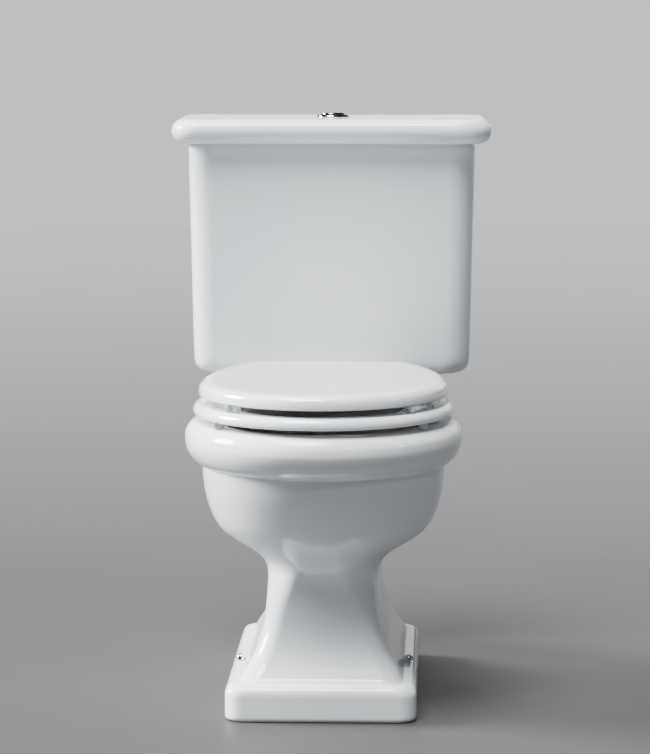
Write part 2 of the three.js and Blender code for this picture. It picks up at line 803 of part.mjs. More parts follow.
function floatLink() {
  const [x, y] = [INLET_X + LINK_X, yOf(INLET_W)];
  const top = FLOAT_BOTTOM + 55;
  return join(
    rod(2, top - 9, ARM_Z + 12, x, y, 10),
    rod(3.2, top + FIT, top + 4, x, y, 12),
    rod(3.6, ARM_Z + 4, ARM_Z + 8, x, y, 12),
    rod(3.6, ARM_Z - 10, ARM_Z - 6, x, y, 12),
  );
}

// ---------------------------------------------------------------- assembly
const toilet = new THREE.Group();

function add(name, shape, material) {
  const geometry = shape.isBufferGeometry ? shape : geometryOf(shape);
  const mesh = new THREE.Mesh(geometry, material);
  mesh.name = name;
  toilet.add(mesh);
}

const SIDES = [["left", -1], ["right", 1]];
const valveY = yOf(VALVE_W);

add("pan", pan(), china);
add("tank", tank(), china);
add("tank_lid", tankLid(), china);
add("coupling_gasket", washer(40, 56, RIM_Z + FIT, TANK_BOTTOM - FIT, 0, valveY, 28), rubber);
add("flush_valve_body", flushValveBody(), whitePlastic);
add("flush_valve_washer", washer(28, 40, TANK_FLOOR + FIT, TANK_FLOOR + 3, 0, valveY), rubber);
add("flush_valve_nut", hexNut(0, valveY, RIM_Z + 12, TANK_BOTTOM - FIT, 27 + 2 * FIT, 39), whitePlastic);
add("flush_seal", washer(10, 25, VALVE_SEAT_Z + FIT, VALVE_SEAT_Z + 4.3, 0, valveY), rubber);
add("overflow_tube", overflowTube(), whitePlastic);
add("half_flush_lift_rod", join(...liftRod(-1, VALVE_SEAT_Z + 40)), bluePlastic);
add("button_collar", buttonCollar(), chrome);
add("button_collar_nut", hexNut(0, valveY, 780, TANK_LID_PLATE - FIT, 20.8 + FIT, 30), whitePlastic);
add("fill_valve_body", fillValveBody(), whitePlastic);
add("fill_valve_head", fillValveHead(), whitePlastic);
add("fill_valve_arm", fillValveArm(), bluePlastic);
add("fill_valve_plunger", fillValvePlunger(), steel);
add("fill_valve_float", floatCup(), bluePlastic);
add("fill_valve_link", floatLink(), whitePlastic);
add(
  "fill_valve_washer",
  washer(10.6, 17, TANK_FLOOR + FIT, TANK_FLOOR + 3, INLET_X, yOf(INLET_W)),
  rubber,
);
add(
  "fill_valve_nut",
  hexNut(INLET_X, yOf(INLET_W), 416, TANK_BOTTOM - FIT, 10.3 + FIT, 18),
  whitePlastic,
);
add("seat_ring", seatRing(), seatPaint);
add("seat_lid", seatLid(), seatPaint);
add("hinge_rod", hingeRod(), chrome);

for (const [name, side] of SIDES) {
  const flush = side < 0 ? "half" : "full";
  add(`${flush}_flush_button`, button(side), chrome);
  add(`${flush}_flush_push_rod`, pushRod(side), whitePlastic);
  add(`${flush}_flush_spring`, buttonSpring(side), steel);
  add(`${flush}_flush_lever`, flushLever(side), bluePlastic);
  const boltX = side * COUPLING_X;
  add(`coupling_bolt_${name}`, couplingBolt(boltX), steel);
  add(
    `coupling_washer_${name}`,
    washer(4.5 + FIT, 13, TANK_FLOOR + FIT, TANK_FLOOR + 4, boltX, valveY),
    rubber,
  );
  add(`coupling_wing_nut_${name}`, wingNut(boltX, valveY, DECK_PLATE_Z - FIT, 4.5), steel);
  add(`floor_screw_${name}`, floorScrew(side * SCREW_X), steel);
  add(`floor_screw_cap_${name}`, screwCap(side * SCREW_X), chrome);
  const hingeX = side * HINGE_X;
  add(`hinge_post_${name}`, hingePost(hingeX), chrome);
  add(`hinge_wing_nut_${name}`, wingNut(hingeX, yOf(HINGE_W), DECK_PLATE_Z - FIT, 4), whitePlastic);
  add(`ring_hinge_leaf_${name}`, ringLeaf(side), chrome);
  add(`lid_hinge_leaf_${name}`, lidLeaf(side), chrome);
  const under = [RIM_Z + FIT, RING_BOTTOM - FIT];
  add(`ring_buffer_front_${name}`, buffer(side * 139, 600, ...under), clearBuffer);
  add(`ring_buffer_rear_${name}`, buffer(side * 146, 410, ...under), clearBuffer);
  add(
    `lid_buffer_${name}`,
    buffer(side * 123, 620, RING_TOP + FIT, LID_BOTTOM - FIT, 16, 16),
    clearBuffer,
  );
}

export default toilet;
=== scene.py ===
"""Close coupled toilet: the looks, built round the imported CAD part.

Metres, +Z up. The wall is behind the toilet at +Y and the front of the rim points to -Y.
"""

import json
import math

import bmesh
import bpy
import numpy as np
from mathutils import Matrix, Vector


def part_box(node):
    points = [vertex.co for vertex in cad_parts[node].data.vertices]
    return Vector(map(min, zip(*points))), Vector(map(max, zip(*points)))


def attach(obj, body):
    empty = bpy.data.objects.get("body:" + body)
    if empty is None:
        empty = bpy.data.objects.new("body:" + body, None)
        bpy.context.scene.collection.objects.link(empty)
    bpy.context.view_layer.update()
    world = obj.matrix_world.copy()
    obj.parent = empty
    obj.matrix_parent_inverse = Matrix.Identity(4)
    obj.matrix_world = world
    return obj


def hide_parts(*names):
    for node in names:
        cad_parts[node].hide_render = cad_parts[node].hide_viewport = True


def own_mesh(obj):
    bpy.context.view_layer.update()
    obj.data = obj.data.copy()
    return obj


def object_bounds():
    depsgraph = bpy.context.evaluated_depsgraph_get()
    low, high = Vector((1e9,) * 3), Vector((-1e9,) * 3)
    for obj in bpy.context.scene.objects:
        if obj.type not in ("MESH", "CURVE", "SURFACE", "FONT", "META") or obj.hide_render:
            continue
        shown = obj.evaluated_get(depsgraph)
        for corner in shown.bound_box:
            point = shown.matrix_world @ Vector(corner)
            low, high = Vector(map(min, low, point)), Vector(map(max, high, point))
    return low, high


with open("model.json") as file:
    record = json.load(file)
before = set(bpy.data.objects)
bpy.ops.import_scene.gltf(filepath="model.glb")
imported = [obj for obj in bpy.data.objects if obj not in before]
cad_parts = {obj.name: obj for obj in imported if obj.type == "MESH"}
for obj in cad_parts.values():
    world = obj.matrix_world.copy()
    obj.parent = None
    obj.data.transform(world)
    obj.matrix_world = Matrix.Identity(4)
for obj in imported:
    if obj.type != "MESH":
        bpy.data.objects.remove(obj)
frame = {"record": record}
cad_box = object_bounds()

MM = 0.001
TAU = 2 * math.pi
WALL_Y = cad_box[1].y  # the plane that the tank's back faces
SIDES = (("left", -1), ("right", 1))


def y_of(from_wall):
    """Y of a place given by its distance from the wall, in millimetres."""
    return WALL_Y - from_wall * MM


def at(x, w, z):
    """A point in metres, from x, the distance from the wall and z in millimetres."""
    return (x * MM, y_of(w), z * MM)


def level(z, points):
    """Points of one level, each given as x and distance from the wall."""
    return [at(x, w, z) for x, w in points]


def centre(node):
    low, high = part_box(node)
    return (low + high) / 2


def heights(node):
    """The bottom and top of a node, in millimetres."""
    return [end.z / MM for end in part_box(node)]


# ---- materials
class Shader:
    """A material under construction: its node tree and its Principled shader."""

    def __init__(self, name, color, roughness, metallic=0.0):
        self.material = bpy.data.materials.new(name)
        self.material.use_nodes = True
        self.nodes = self.material.node_tree.nodes
        self.links = self.material.node_tree.links
        self.principled = self.nodes["Principled BSDF"]
        self.coordinates = self.nodes.new("ShaderNodeTexCoord").outputs["Object"]
        self.put(Roughness=roughness, Metallic=metallic)
        self.put(**{"Base Color": (*color, 1)})
        self.normal = None

    def put(self, **values):
        for socket, value in values.items():
            self.principled.inputs[socket].default_value = value

    def noise(self, scale, detail, stretch=(1, 1, 1)):
        mapping = self.nodes.new("ShaderNodeMapping")
        mapping.inputs["Scale"].default_value = stretch
        self.links.new(self.coordinates, mapping.inputs["Vector"])
        texture = self.nodes.new("ShaderNodeTexNoise")
        texture.inputs["Scale"].default_value = scale
        texture.inputs["Detail"].default_value = detail
        self.links.new(mapping.outputs["Vector"], texture.inputs["Vector"])
        return texture.outputs["Fac"]

    def ramp(self, source, low, high, start, end):
        """Remaps source from low..high to start..end, clamped."""
        remap = self.nodes.new("ShaderNodeMapRange")
        remap.inputs["From Min"].default_value = low
        remap.inputs["From Max"].default_value = high
        remap.inputs["To Min"].default_value = start
        remap.inputs["To Max"].default_value = end
        self.links.new(source, remap.inputs["Value"])
        return remap.outputs["Result"]

    def tint(self, source, color, low, high, amount=1.0):
        """Mixes color into the base colour where source is high."""
        mix = self.nodes.new("ShaderNodeMix")
        mix.data_type = "RGBA"
        self.links.new(self.ramp(source, low, high, 0, amount), mix.inputs["Factor"])
        base = self.principled.inputs["Base Color"]
        if base.links:
            self.links.new(base.links[0].from_socket, mix.inputs["A"])
        else:
            mix.inputs["A"].default_value = base.default_value
        mix.inputs["B"].default_value = (*color, 1)
        self.links.new(mix.outputs["Result"], base)

    def vary_roughness(self, source, start, end):
        remapped = self.ramp(source, 0.35, 0.65, start, end)
        self.links.new(remapped, self.principled.inputs["Roughness"])

    def bump(self, source, height, strength):
        node = self.nodes.new("ShaderNodeBump")
        node.inputs["Strength"].default_value = strength
        node.inputs["Distance"].default_value = height
        self.links.new(source, node.inputs["Height"])
        if self.normal:
            self.links.new(self.normal, node.inputs["Normal"])
        self.normal = node.outputs["Normal"]
        self.links.new(self.normal, self.principled.inputs["Normal"])

    def along(self, axis):
        """The place along one axis of the object, in metres."""
        split = self.nodes.new("ShaderNodeSeparateXYZ")
        self.links.new(self.coordinates, split.inputs["Vector"])
        return split.outputs[axis]

    def height_mask(self, low, high):
        """1 below low and 0 above high, by height over the floor."""
        return self.ramp(self.along("Z"), low, high, 1, 0)


def glazed_china():
    """Vitreous china: a deep clear glaze over a white body, bare biscuit on the edge of the foot."""
    s = Shader("glazed_china", (0.80, 0.83, 0.855), 0.16)
    s.put(**{"Coat Weight": 0.5, "Coat Roughness": 0.025, "Coat IOR": 1.52})
    s.put(**{"IOR": 1.5, "Specular IOR Level": 0.15})
    s.tint(s.noise(3.2, 2), (0.77, 0.81, 0.84), 0.4, 0.62, 0.8)
    s.tint(s.noise(420, 1), (0.62, 0.60, 0.56), 0.79, 0.83, 0.35)
    s.tint(s.height_mask(0.0006, 0.0016), (0.72, 0.68, 0.61), 0.2, 0.8)
    s.vary_roughness(s.noise(24, 4), 0.13, 0.2)
    s.bump(s.noise(14, 2), 0.0006, 0.35)
    s.bump(s.noise(160, 2), 0.00006, 0.5)
    return s.material


def seat_lacquer():
    """Sprayed gloss lacquer on the moulded seat, with a faint orange peel."""
    s = Shader("seat_lacquer", (0.83, 0.855, 0.875), 0.2)
    s.put(**{"Coat Weight": 1.0, "Coat Roughness": 0.05, "Coat IOR": 1.5})
    s.tint(s.noise(5, 2), (0.81, 0.84, 0.865), 0.4, 0.6)
    s.vary_roughness(s.noise(12, 3), 0.19, 0.23)
    s.bump(s.noise(400, 2), 0.00001, 0.3)
    return s.material


def polished_chrome():
    s = Shader("polished_chrome", (0.78, 0.79, 0.81), 0.08, 1.0)
    s.tint(s.noise(60, 3), (0.70, 0.71, 0.74), 0.45, 0.7)
    s.vary_roughness(s.noise(180, 5), 0.05, 0.14)
    s.bump(s.noise(900, 2), 0.00001, 0.4)
    return s.material


def zinc_steel():
    s = Shader("zinc_plated_steel", (0.60, 0.61, 0.62), 0.36, 1.0)
    s.tint(s.noise(90, 4), (0.50, 0.50, 0.47), 0.45, 0.65)
    s.tint(s.noise(700, 3), (0.74, 0.75, 0.76), 0.55, 0.75)
    s.vary_roughness(s.noise(320, 4, (1, 1, 6)), 0.28, 0.48)
    s.bump(s.noise(1200, 3, (1, 1, 5)), 0.00003, 0.5)
    return s.material


def black_rubber():
    s = Shader("black_rubber", (0.035, 0.035, 0.038), 0.75)
    s.tint(s.noise(45, 4), (0.07, 0.07, 0.072), 0.45, 0.7)
    s.tint(s.noise(800, 2), (0.12, 0.12, 0.12), 0.62, 0.75, 0.5)
    s.vary_roughness(s.noise(160, 4), 0.6, 0.9)
    s.bump(s.noise(650, 4), 0.00012, 0.6)
    return s.material


def moulded_plastic(name, color, deeper):
    """Injection moulded polypropylene or ABS with a fine satin texture."""
    s = Shader(name, color, 0.42)
    s.put(**{"Subsurface Weight": 0.08, "Subsurface Scale": 0.002})
    s.tint(s.noise(30, 3), deeper, 0.4, 0.65)
    s.vary_roughness(s.noise(220, 4), 0.34, 0.52)
    s.bump(s.noise(1500, 3), 0.00002, 0.5)
    s.bump(s.noise(28, 2), 0.00012, 0.3)
    return s.material


def buffer_rubber():
    """Milky soft plastic of the seat's buffers."""
    s = Shader("buffer_rubber", (0.66, 0.68, 0.69), 0.3)
    s.put(**{"Subsurface Weight": 0.5, "Subsurface Scale": 0.006, "Transmission Weight": 0.25})
    s.tint(s.noise(120, 3), (0.6, 0.63, 0.64), 0.4, 0.65)
    s.vary_roughness(s.noise(300, 3), 0.25, 0.42)
    s.bump(s.noise(900, 2), 0.00003, 0.4)
    return s.material


def studio_floor():
    s = Shader("studio_floor", (0.044, 0.044, 0.045), 0.55)
    s.tint(s.noise(1.1, 4), (0.041, 0.041, 0.042), 0.4, 0.65)
    s.tint(s.ramp(s.along("Y"), 0.8, 9, 0, 1), (0.19, 0.195, 0.2), 0, 1)
    s.vary_roughness(s.noise(6, 4), 0.53, 0.57)
    s.bump(s.noise(90, 4), 0.0002, 0.15)
    return s.material


MATERIALS = {
    "glazed_china": glazed_china(),
    "white_seat": seat_lacquer(),
    "chrome": polished_chrome(),
    "steel": zinc_steel(),
    "black_rubber": black_rubber(),
    "white_plastic": moulded_plastic("white_plastic", (0.78, 0.78, 0.74), (0.72, 0.72, 0.68)),
    "blue_plastic": moulded_plastic("blue_plastic", (0.05, 0.20, 0.45), (0.04, 0.16, 0.38)),
    "clear_buffer": buffer_rubber(),
}

SLOT_OF = {part["node"]: part["material_slot"] for part in frame["record"]["subparts"]}
BODY_OF = {
    node: body
    for body, nodes in frame["record"]["behaviour"]["bodies"].items()
    for node in nodes
}


# ---- mesh helpers
def mesh_object(name, points, faces):
    mesh = bpy.data.meshes.new(name)
    mesh.from_pydata([tuple(p) for p in points], [], faces)
    mesh.validate()
    piece = bpy.data.objects.new(name, mesh)
    bpy.context.collection.objects.link(piece)
    return piece


def apply_modifiers(piece):
    depsgraph = bpy.context.evaluated_depsgraph_get()
    mesh = bpy.data.meshes.new_from_object(piece.evaluated_get(depsgraph))
    piece.modifiers.clear()
    piece.data = mesh


def clean(piece, distance=1e-5):
    """Merges points that coincide, drops loose edges and turns the faces outwards."""
    mesh = bmesh.new()
    mesh.from_mesh(piece.data)
    bmesh.ops.remove_doubles(mesh, verts=mesh.verts, dist=distance)
    loose = [edge for edge in mesh.edges if not edge.link_faces]
    bmesh.ops.delete(mesh, geom=loose, context="EDGES")
    bmesh.ops.recalc_face_normals(mesh, faces=mesh.faces)
    mesh.to_mesh(piece.data)
    mesh.free()


def smooth(piece, degrees):
    """Smooth shading everywhere but at edges sharper than degrees."""
    limit = math.radians(degrees)
    mesh = bmesh.new()
    mesh.from_mesh(piece.data)
    for face in mesh.faces:
        face.smooth = True
    for edge in mesh.edges:
        edge.smooth = len(edge.link_faces) == 2 and edge.calc_face_angle(0) < limit
    mesh.to_mesh(piece.data)
    mesh.free()


def boolean(piece, tool, operation="DIFFERENCE"):
    modifier = piece.modifiers.new("boolean", "BOOLEAN")
    modifier.operation = operation
    modifier.solver = "EXACT"
    modifier.object = tool
    apply_modifiers(piece)
    bpy.data.objects.remove(tool)


def fused(first, *others):
    for other in others:
        boolean(first, other, "UNION")
    return first


def bored(piece, *tools):
    for tool in tools:
        boolean(piece, tool)
    return piece


def stand_for(piece, node, degrees=35):
    """Finishes a piece that takes the place of a CAD node of the same name."""
    smooth(piece, degrees)
    slot = SLOT_OF[node]
    piece.data.materials.clear()
    piece.data.materials.append(MATERIALS[slot])
    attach(piece, BODY_OF[node])
    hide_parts(node)


def strip(first, second, count):
    """Faces between two closed rings of count points, given by the index of each one's first point."""
    turns = [(i, (i + 1) % count) for i in range(count)]
    return [(first + i, first + j, second + j, second + i) for i, j in turns]


def rings_to_mesh(name, rings):
    """A closed body through rings of points, listed so that its faces point out."""
    count = len(rings[0])
    points = [p for ring in rings for p in ring]
    faces = []
    for k in range(len(rings) - 1):
        faces += strip(k * count, (k + 1) * count, count)
    last = (len(rings) - 1) * count
    points.append(tuple(np.mean(rings[0], axis=0)))
    points.append(tuple(np.mean(rings[-1], axis=0)))
    for i in range(count):
        following = (i + 1) % count
        faces.append((len(points) - 2, following, i))
        faces.append((len(points) - 1, last + i, last + following))
    piece = mesh_object(name, points, faces)
    clean(piece)
    return piece


def drill(node, radius, z0, z1, sides=48):
    """A plain round bar on a node's middle line, in millimetres, to cut a hole with."""
    place, radius = centre(node), radius * MM
    circle = [(math.cos(TAU * i / sides), math.sin(TAU * i / sides)) for i in range(sides)]
    rings = [
        [(place.x + radius * c, place.y + radius * s, z * MM) for c, s in circle] for z in (z0, z1)
    ]
    return rings_to_mesh("drill", rings)


def fine_rows(rows, steps):
    """Rows resampled along a smooth curve that keeps each column between its neighbours."""
    rows = np.array(rows, dtype=float)
    t = np.concatenate([[0], np.cumsum(np.hypot(*np.diff(rows[:, :2], axis=0).T) + 1e-6)])
    places = np.linspace(0, t[-1], steps)
    step = np.diff(t)[:, None]
    slope = np.diff(rows, axis=0) / step
    tangent = np.empty_like(rows)
    tangent[0], tangent[-1] = slope[0], slope[-1]
    same_sign = slope[:-1] * slope[1:] > 0
    weight_a, weight_b = 2 * step[1:] + step[:-1], step[1:] + 2 * step[:-1]
    with np.errstate(divide="ignore", invalid="ignore"):
        mean = (weight_a + weight_b) / (weight_a / slope[:-1] + weight_b / slope[1:])
    tangent[1:-1] = np.where(same_sign, mean, 0)
    k = np.clip(np.searchsorted(t, places, side="right") - 1, 0, len(t) - 2)
    h = step[k, 0]
    u = ((places - t[k]) / h)[:, None]
    h = h[:, None]
    return (
        (2 * u**3 - 3 * u**2 + 1) * rows[k]
        + (u**3 - 2 * u**2 + u) * h * tangent[k]
        + (3 * u**2 - 2 * u**3) * rows[k + 1]
        + (u**3 - u**2) * h * tangent[k + 1]
    )


def outline(half, front, back, mid, blend, corner, quarter):
    """One level of a casting in millimetres, as x and distance from the wall.

    blend runs from 0, a rectangle with rounded corners, to 1, an oval.
    """
    angles = np.radians(np.linspace(0.4, 89.6, quarter))
    points = []
    for sx, sw in ((1, -1), (-1, -1), (-1, 1), (1, 1)):
        length = front - mid if sw > 0 else mid - back
        rx = min(corner, half) * (1 - blend) + half * blend
        ry = min(corner, length) * (1 - blend) + length * blend
        quarter_points = [
            (sx * (half - rx + rx * math.cos(a)), mid + sw * (length - ry + ry * math.sin(a)))
            for a in angles
        ]
        points += quarter_points if sx * sw < 0 else quarter_points[::-1]
    return np.array(points)


# ---- pan
# Rows of (z, half width, front, back, blend) in millimetres.
# front and back are distances from the wall; blend is that of outline().
PLINTH_HALF, PLINTH_FRONT, PLINTH_BACK, PLINTH_TOP = 131.5, 622.5, 150, 50
RIM_HALF, RIM_MID, RIM_BACK, RIM_Z, PROJECTION = 192.5, 485, 259.5, 402.5, 700
PLINTH = [
    (z, PLINTH_HALF - inset, PLINTH_FRONT - inset, PLINTH_BACK + inset, 0)
    for z, inset in (
        (0, 4), (1.5, 1.5), (5, 0), (36, 0), (41, 1), (45.5, 3.5), (48.8, 7.5), (PLINTH_TOP, 13),
    )
]  # fmt: skip
PEDESTAL_AND_BOWL = [
    (PLINTH_TOP + 0.6, 113, 606, 165, 0),
    (54, 110.5, 601.5, 169, 0),
    (60, 107.5, 597.5, 173, 0),
    (73, 99.5, 588.5, 182, 0),
    (90, 90, 579.5, 191, 0),
    (110, 83.3, 573, 198, 0.02),
    (130, 79.6, 569.5, 202.5, 0.05),
    (155, 77.7, 567.5, 205, 0.14),
    (176, 77, 568, 206, 0.3),
    (192, 78.8, 572.5, 212, 0.5),
    (205, 86, 580.5, 232, 0.69),
    (218, 101, 591, 252, 0.83),
    (231, 121, 603, 268, 0.92),
    (243, 137, 613, 275, 0.96),
    (261, 151, 627, 277, 0.985),
    (287, 161.5, 643, 275, 1),
    (311, 166.5, 655, 273, 1),
    (336, 168.5, 662.5, 271, 1),
    (339.5, 168.5, 663, 271, 1),
]
ROLL_RIM = [
    (340.5, 171, 667, 270, 1),
    (343.5, 175, 673.5, 268, 1),
    (348, 180.5, 682, 266, 1),
    (357, 187.5, 691.5, 262, 1),
    (368, 191.5, 697.8, 260, 1),
    (377, RIM_HALF, PROJECTION, RIM_BACK, 1),
    (386, 191.8, 699, 260.5, 1),
    (394, 188, 695, 263, 1),
    (399.5, 182.5, 689, 267, 1),
    (402, 175.5, 682, 272, 1),
    (RIM_Z, 168, 674, 278, 1),
]
# The neck carries the deck behind the bowl: rows of (z, half width, back).
NECK_AND_DECK = [
    (170, 66, 206),
    (230, 62, 182),
    (290, 62, 160),
    (318, 67, 140),
    (334, 79, 104),
    (343, 94, 62),
    (349, 104, 45),
    (357, 110, 36),
    (368, 112, 31),
    (388, 112, 30),
    (396, 109.5, 32.5),
    (401, 104, 38),
    (RIM_Z, 97, 45),
]
# The bowl's inside, from the rim's opening down: rows of (z, half width, front, back).
BOWL_INSIDE = [
    (RIM_Z - 0.3, 158, 665, 297),
    (401, 149, 657, 306),
    (399, 142, 650, 312.5),
    (396, 137, 645, 317),
    (392, 133, 641, 321),
    (386, 132, 640, 322),
    (360, 132, 640, 322),
    (353, 133, 641, 321.5),
    (350.5, 136, 643, 319),
    (350, 140, 646, 315),
    (350.2, 145, 649, 309),
    (346, 147.5, 650, 307),
    (320, 141.5, 635, 309),
    (300, 131.5, 620, 314),
    (270, 112, 594, 324),
    (240, 88, 560, 334),
    (215, 66, 527, 343),
    (190, 53, 503, 350),
    (160, 47, 488, 358),
    (130, 43, 476, 368),
    (108, 35, 462, 378),
    (100, 24, 448, 390),
    (98, 10, 432, 404),
]
HUB_W = 330  # the pan's outlines are read as distances from this place
AROUND = 360
FOOT_MID, FOOT_CORNER, UNDERSIDE_CORNER, NECK_CORNER = 386, 26, 18, 36
WAIST_Z, BOWL_Z = 176, 261  # the outlines' middle moves from the plinth's to the rim's between them
SUMP_Z = 200
DECK_PLATE_Z = 384  # roof of the pockets under the deck
BOLT_HOLE, POCKET, INLET_HOLE = 6, 24, 31  # radii


def eased(t):
    """0 to 1 as t goes from 0 to 1, level at both ends."""
    t = np.clip(t, 0, 1)
    return t * t * (3 - 2 * t)


def pan_mid(z):
    rise = eased((z - WAIST_Z) / (BOWL_Z - WAIST_Z))
    return (PLINTH_FRONT + PLINTH_BACK) / 2 * (1 - rise) + RIM_MID * rise


def reach(points, directions):
    """Distance of a closed outline from the hub, in each of the given directions."""
    closed = np.vstack([points, points[:1]])
    places = np.linspace(0, len(points), 50 * len(points), endpoint=False)
    xs, ws = [np.interp(places, np.arange(len(closed)), closed[:, k]) for k in (0, 1)]
    angle = np.arctan2(ws - HUB_W, xs) % TAU
    radius = np.hypot(xs, ws - HUB_W)
    order = np.argsort(angle)
    return np.interp(directions, angle[order], radius[order], period=TAU)


def smooth_max(a, b, fillet):
    """The larger of a and b, rounded over where they are closer than fillet."""
    if fillet <= 0:
        return np.maximum(a, b)
    nearness = np.clip(fillet - np.abs(a - b), 0, None) / fillet
    return np.maximum(a, b) + nearness * nearness * fillet / 4


def hub_directions():
    """Directions of the pan's points: evenly spread along a mean of its widest outlines."""
    foot = outline(PLINTH_HALF, PLINTH_FRONT, PLINTH_BACK, FOOT_MID, 0, FOOT_CORNER, 80)
    rim = outline(RIM_HALF, PROJECTION, RIM_BACK, RIM_MID, 1, FOOT_CORNER, 80)
    fine = np.linspace(0, TAU, 4001)
    radius = reach(foot, fine) + 0.6 * reach(rim, fine)
    length = np.hypot(np.diff(radius), (radius[1:] + radius[:-1]) / 2 * np.diff(fine))
    travelled = np.concatenate([[0], np.cumsum(length)])
    return np.interp(np.arange(AROUND) / AROUND * travelled[-1], travelled, fine)


def outer_ring(row, neck, directions):
    """A level of the pan's outside: its body, with the neck and deck blended in behind it."""
    z, half, front, back, blend = row
    body = outline(half, front, back, pan_mid(z), blend, FOOT_CORNER, 60)
    front_body = reach(body, directions)
    if z < NECK_AND_DECK[0][0]:
        radius = front_body
    else:
        neck_half, neck_back = [np.interp(z, neck[:, 0], neck[:, k]) for k in (1, 2)]
        neck_front = HUB_W + 15
        neck_mid = (neck_front + neck_back) / 2
        rear = outline(neck_half, neck_front, neck_back, neck_mid, 0, NECK_CORNER, 60)
        fillet = 34 * np.clip((z - 185) / 50, 0, 1) * np.clip((RIM_Z + 12 - z) / 40, 0.35, 1)
        radius = smooth_max(front_body, reach(rear, directions), fillet)
    return from_hub(z, radius, directions)


def from_hub(z, radius, directions):
    return level(z, zip(radius * np.cos(directions), HUB_W + radius * np.sin(directions)))


def opening(row, angles):
    """A level of the bowl's inside as x and distance from the wall, by the angle at its middle."""
    z, half, front, back = row
    mid = (front + back) / 2
    if z > SUMP_Z:
        mid = mid * 0.5 + RIM_MID * 0.5
    length = np.where(np.sin(angles) > 0, front - mid, mid - back)
    return half * np.cos(angles), mid + length * np.sin(angles)


def opening_turn(directions):
    """The turn from each of the hub's directions to the same point's angle at the opening's middle."""
    fine = np.linspace(0, TAU, 7200, endpoint=False)
    xs, ws = opening(BOWL_INSIDE[0], fine)
    seen = np.arctan2(ws - HUB_W, xs) % TAU
    order = np.argsort(seen)
    turn = (fine - seen + math.pi) % TAU - math.pi
    return np.interp(directions, seen[order], turn[order], period=TAU)


def inner_ring(row, directions, turn):
    """A level of the bowl's inside: its points face the hub at the top and its own middle lower down."""
    z = row[0]
    share = eased((z - SUMP_Z) / (RIM_Z - 1.5 - SUMP_Z))
    return level(z, zip(*opening(row, directions + turn * share)))


def underside_rings(directions):
    """The hollow under the foot, from its roof down to the floor."""
    rows = [
        (74, 84, 572, 200),
        (73, 90, 578, 193),
        (66, 94, 583, 187),
        (40, 105, 597, 175),
        (1.5, 107.5, 599.5, 172),
        (0, 110, 602, 169.5),
    ]
    rings = []
    for z, half, front, back in rows:
        body = outline(half, front, back, FOOT_MID, 0, UNDERSIDE_CORNER, 60)
        rings.append(from_hub(z, reach(body, directions), directions))
    return rings


# The trapway's middle line: distance from the wall and z.
TRAP_ROUTE = [
    (448, 150), (385, 140), (325, 165), (276, 222), (234, 268),
    (192, 264), (158, 225), (122, 193), (82, 185), (50, 185), (20, 185),
]  # fmt: skip
TRAP_BORE, SPIGOT_RADIUS, SPIGOT_BEAD = 40, 53, 54.5


def tube(route, radii):
    """A round bar along a route in the plane x = 0; radii has one number for each point."""
    curve = bpy.data.curves.new("tube", "CURVE")
    curve.dimensions = "3D"
    curve.bevel_depth = 1.0
    curve.bevel_resolution = 16
    curve.use_fill_caps = True
    spline = curve.splines.new("POLY")
    spline.points.add(len(route) - 1)
    for point, (w, z), radius in zip(spline.points, route, radii):
        point.co = (0, y_of(w), z * MM, 1)
        point.radius = radius * MM
    piece = bpy.data.objects.new("tube", curve)
    bpy.context.collection.objects.link(piece)
    mesh = bpy.data.meshes.new_from_object(
        piece.evaluated_get(bpy.context.evaluated_depsgraph_get())
    )
    bpy.data.objects.remove(piece)
    piece = bpy.data.objects.new("tube", mesh)
    bpy.context.collection.objects.link(piece)
    return piece


def make_pan():
    directions = hub_directions()
    neck = fine_rows(NECK_AND_DECK, 90)
    outer = [
        *fine_rows(PLINTH, 24),
        *fine_rows(PEDESTAL_AND_BOWL, 84),
        *fine_rows(ROLL_RIM, 36),
    ]
    rings = underside_rings(directions)
    rings += [outer_ring(row, neck, directions) for row in outer]
    turn = opening_turn(directions)
    rings += [inner_ring(row, directions, turn) for row in fine_rows(BOWL_INSIDE, 64)]
    pan = rings_to_mesh("pan_glazed", rings)
    route = fine_rows(TRAP_ROUTE, 60)
    beads = [SPIGOT_RADIUS, SPIGOT_BEAD, SPIGOT_BEAD, SPIGOT_RADIUS]
    radii = np.interp(route[:, 0], [20, 26, 30, 38], beads)
    radii += np.interp(route[:, 0], [165, 180, 200, 215], [0, 3, 8, 8])
    behind = route[:, 0] < 215
    boolean(pan, tube(route[behind], radii[behind]), "UNION")
    bore_route = [*route, (10, 185)]
    boolean(pan, tube(bore_route, [TRAP_BORE] * len(bore_route)))
    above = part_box("pan")[1].z / MM + 10
    for name, _ in SIDES:
        for node in (f"coupling_bolt_{name}", f"hinge_post_{name}"):
            bored(pan, drill(node, BOLT_HOLE, 360, above), drill(node, POCKET, 310, DECK_PLATE_Z, 64))
    boolean(pan, drill("flush_valve_body", INLET_HOLE, 362, above, 64))
    stand_for(pan, "pan", 32)


# ---- tank and its lid
TANK_HALF, TANK_FRONT, TANK_BACK = 211.5, 192, 6
TANK_BOTTOM, TANK_TOP = 427, 768
TANK_FLOOR = TANK_BOTTOM + 14
TANK_CORNER, TANK_INNER_CORNER = 38, 28
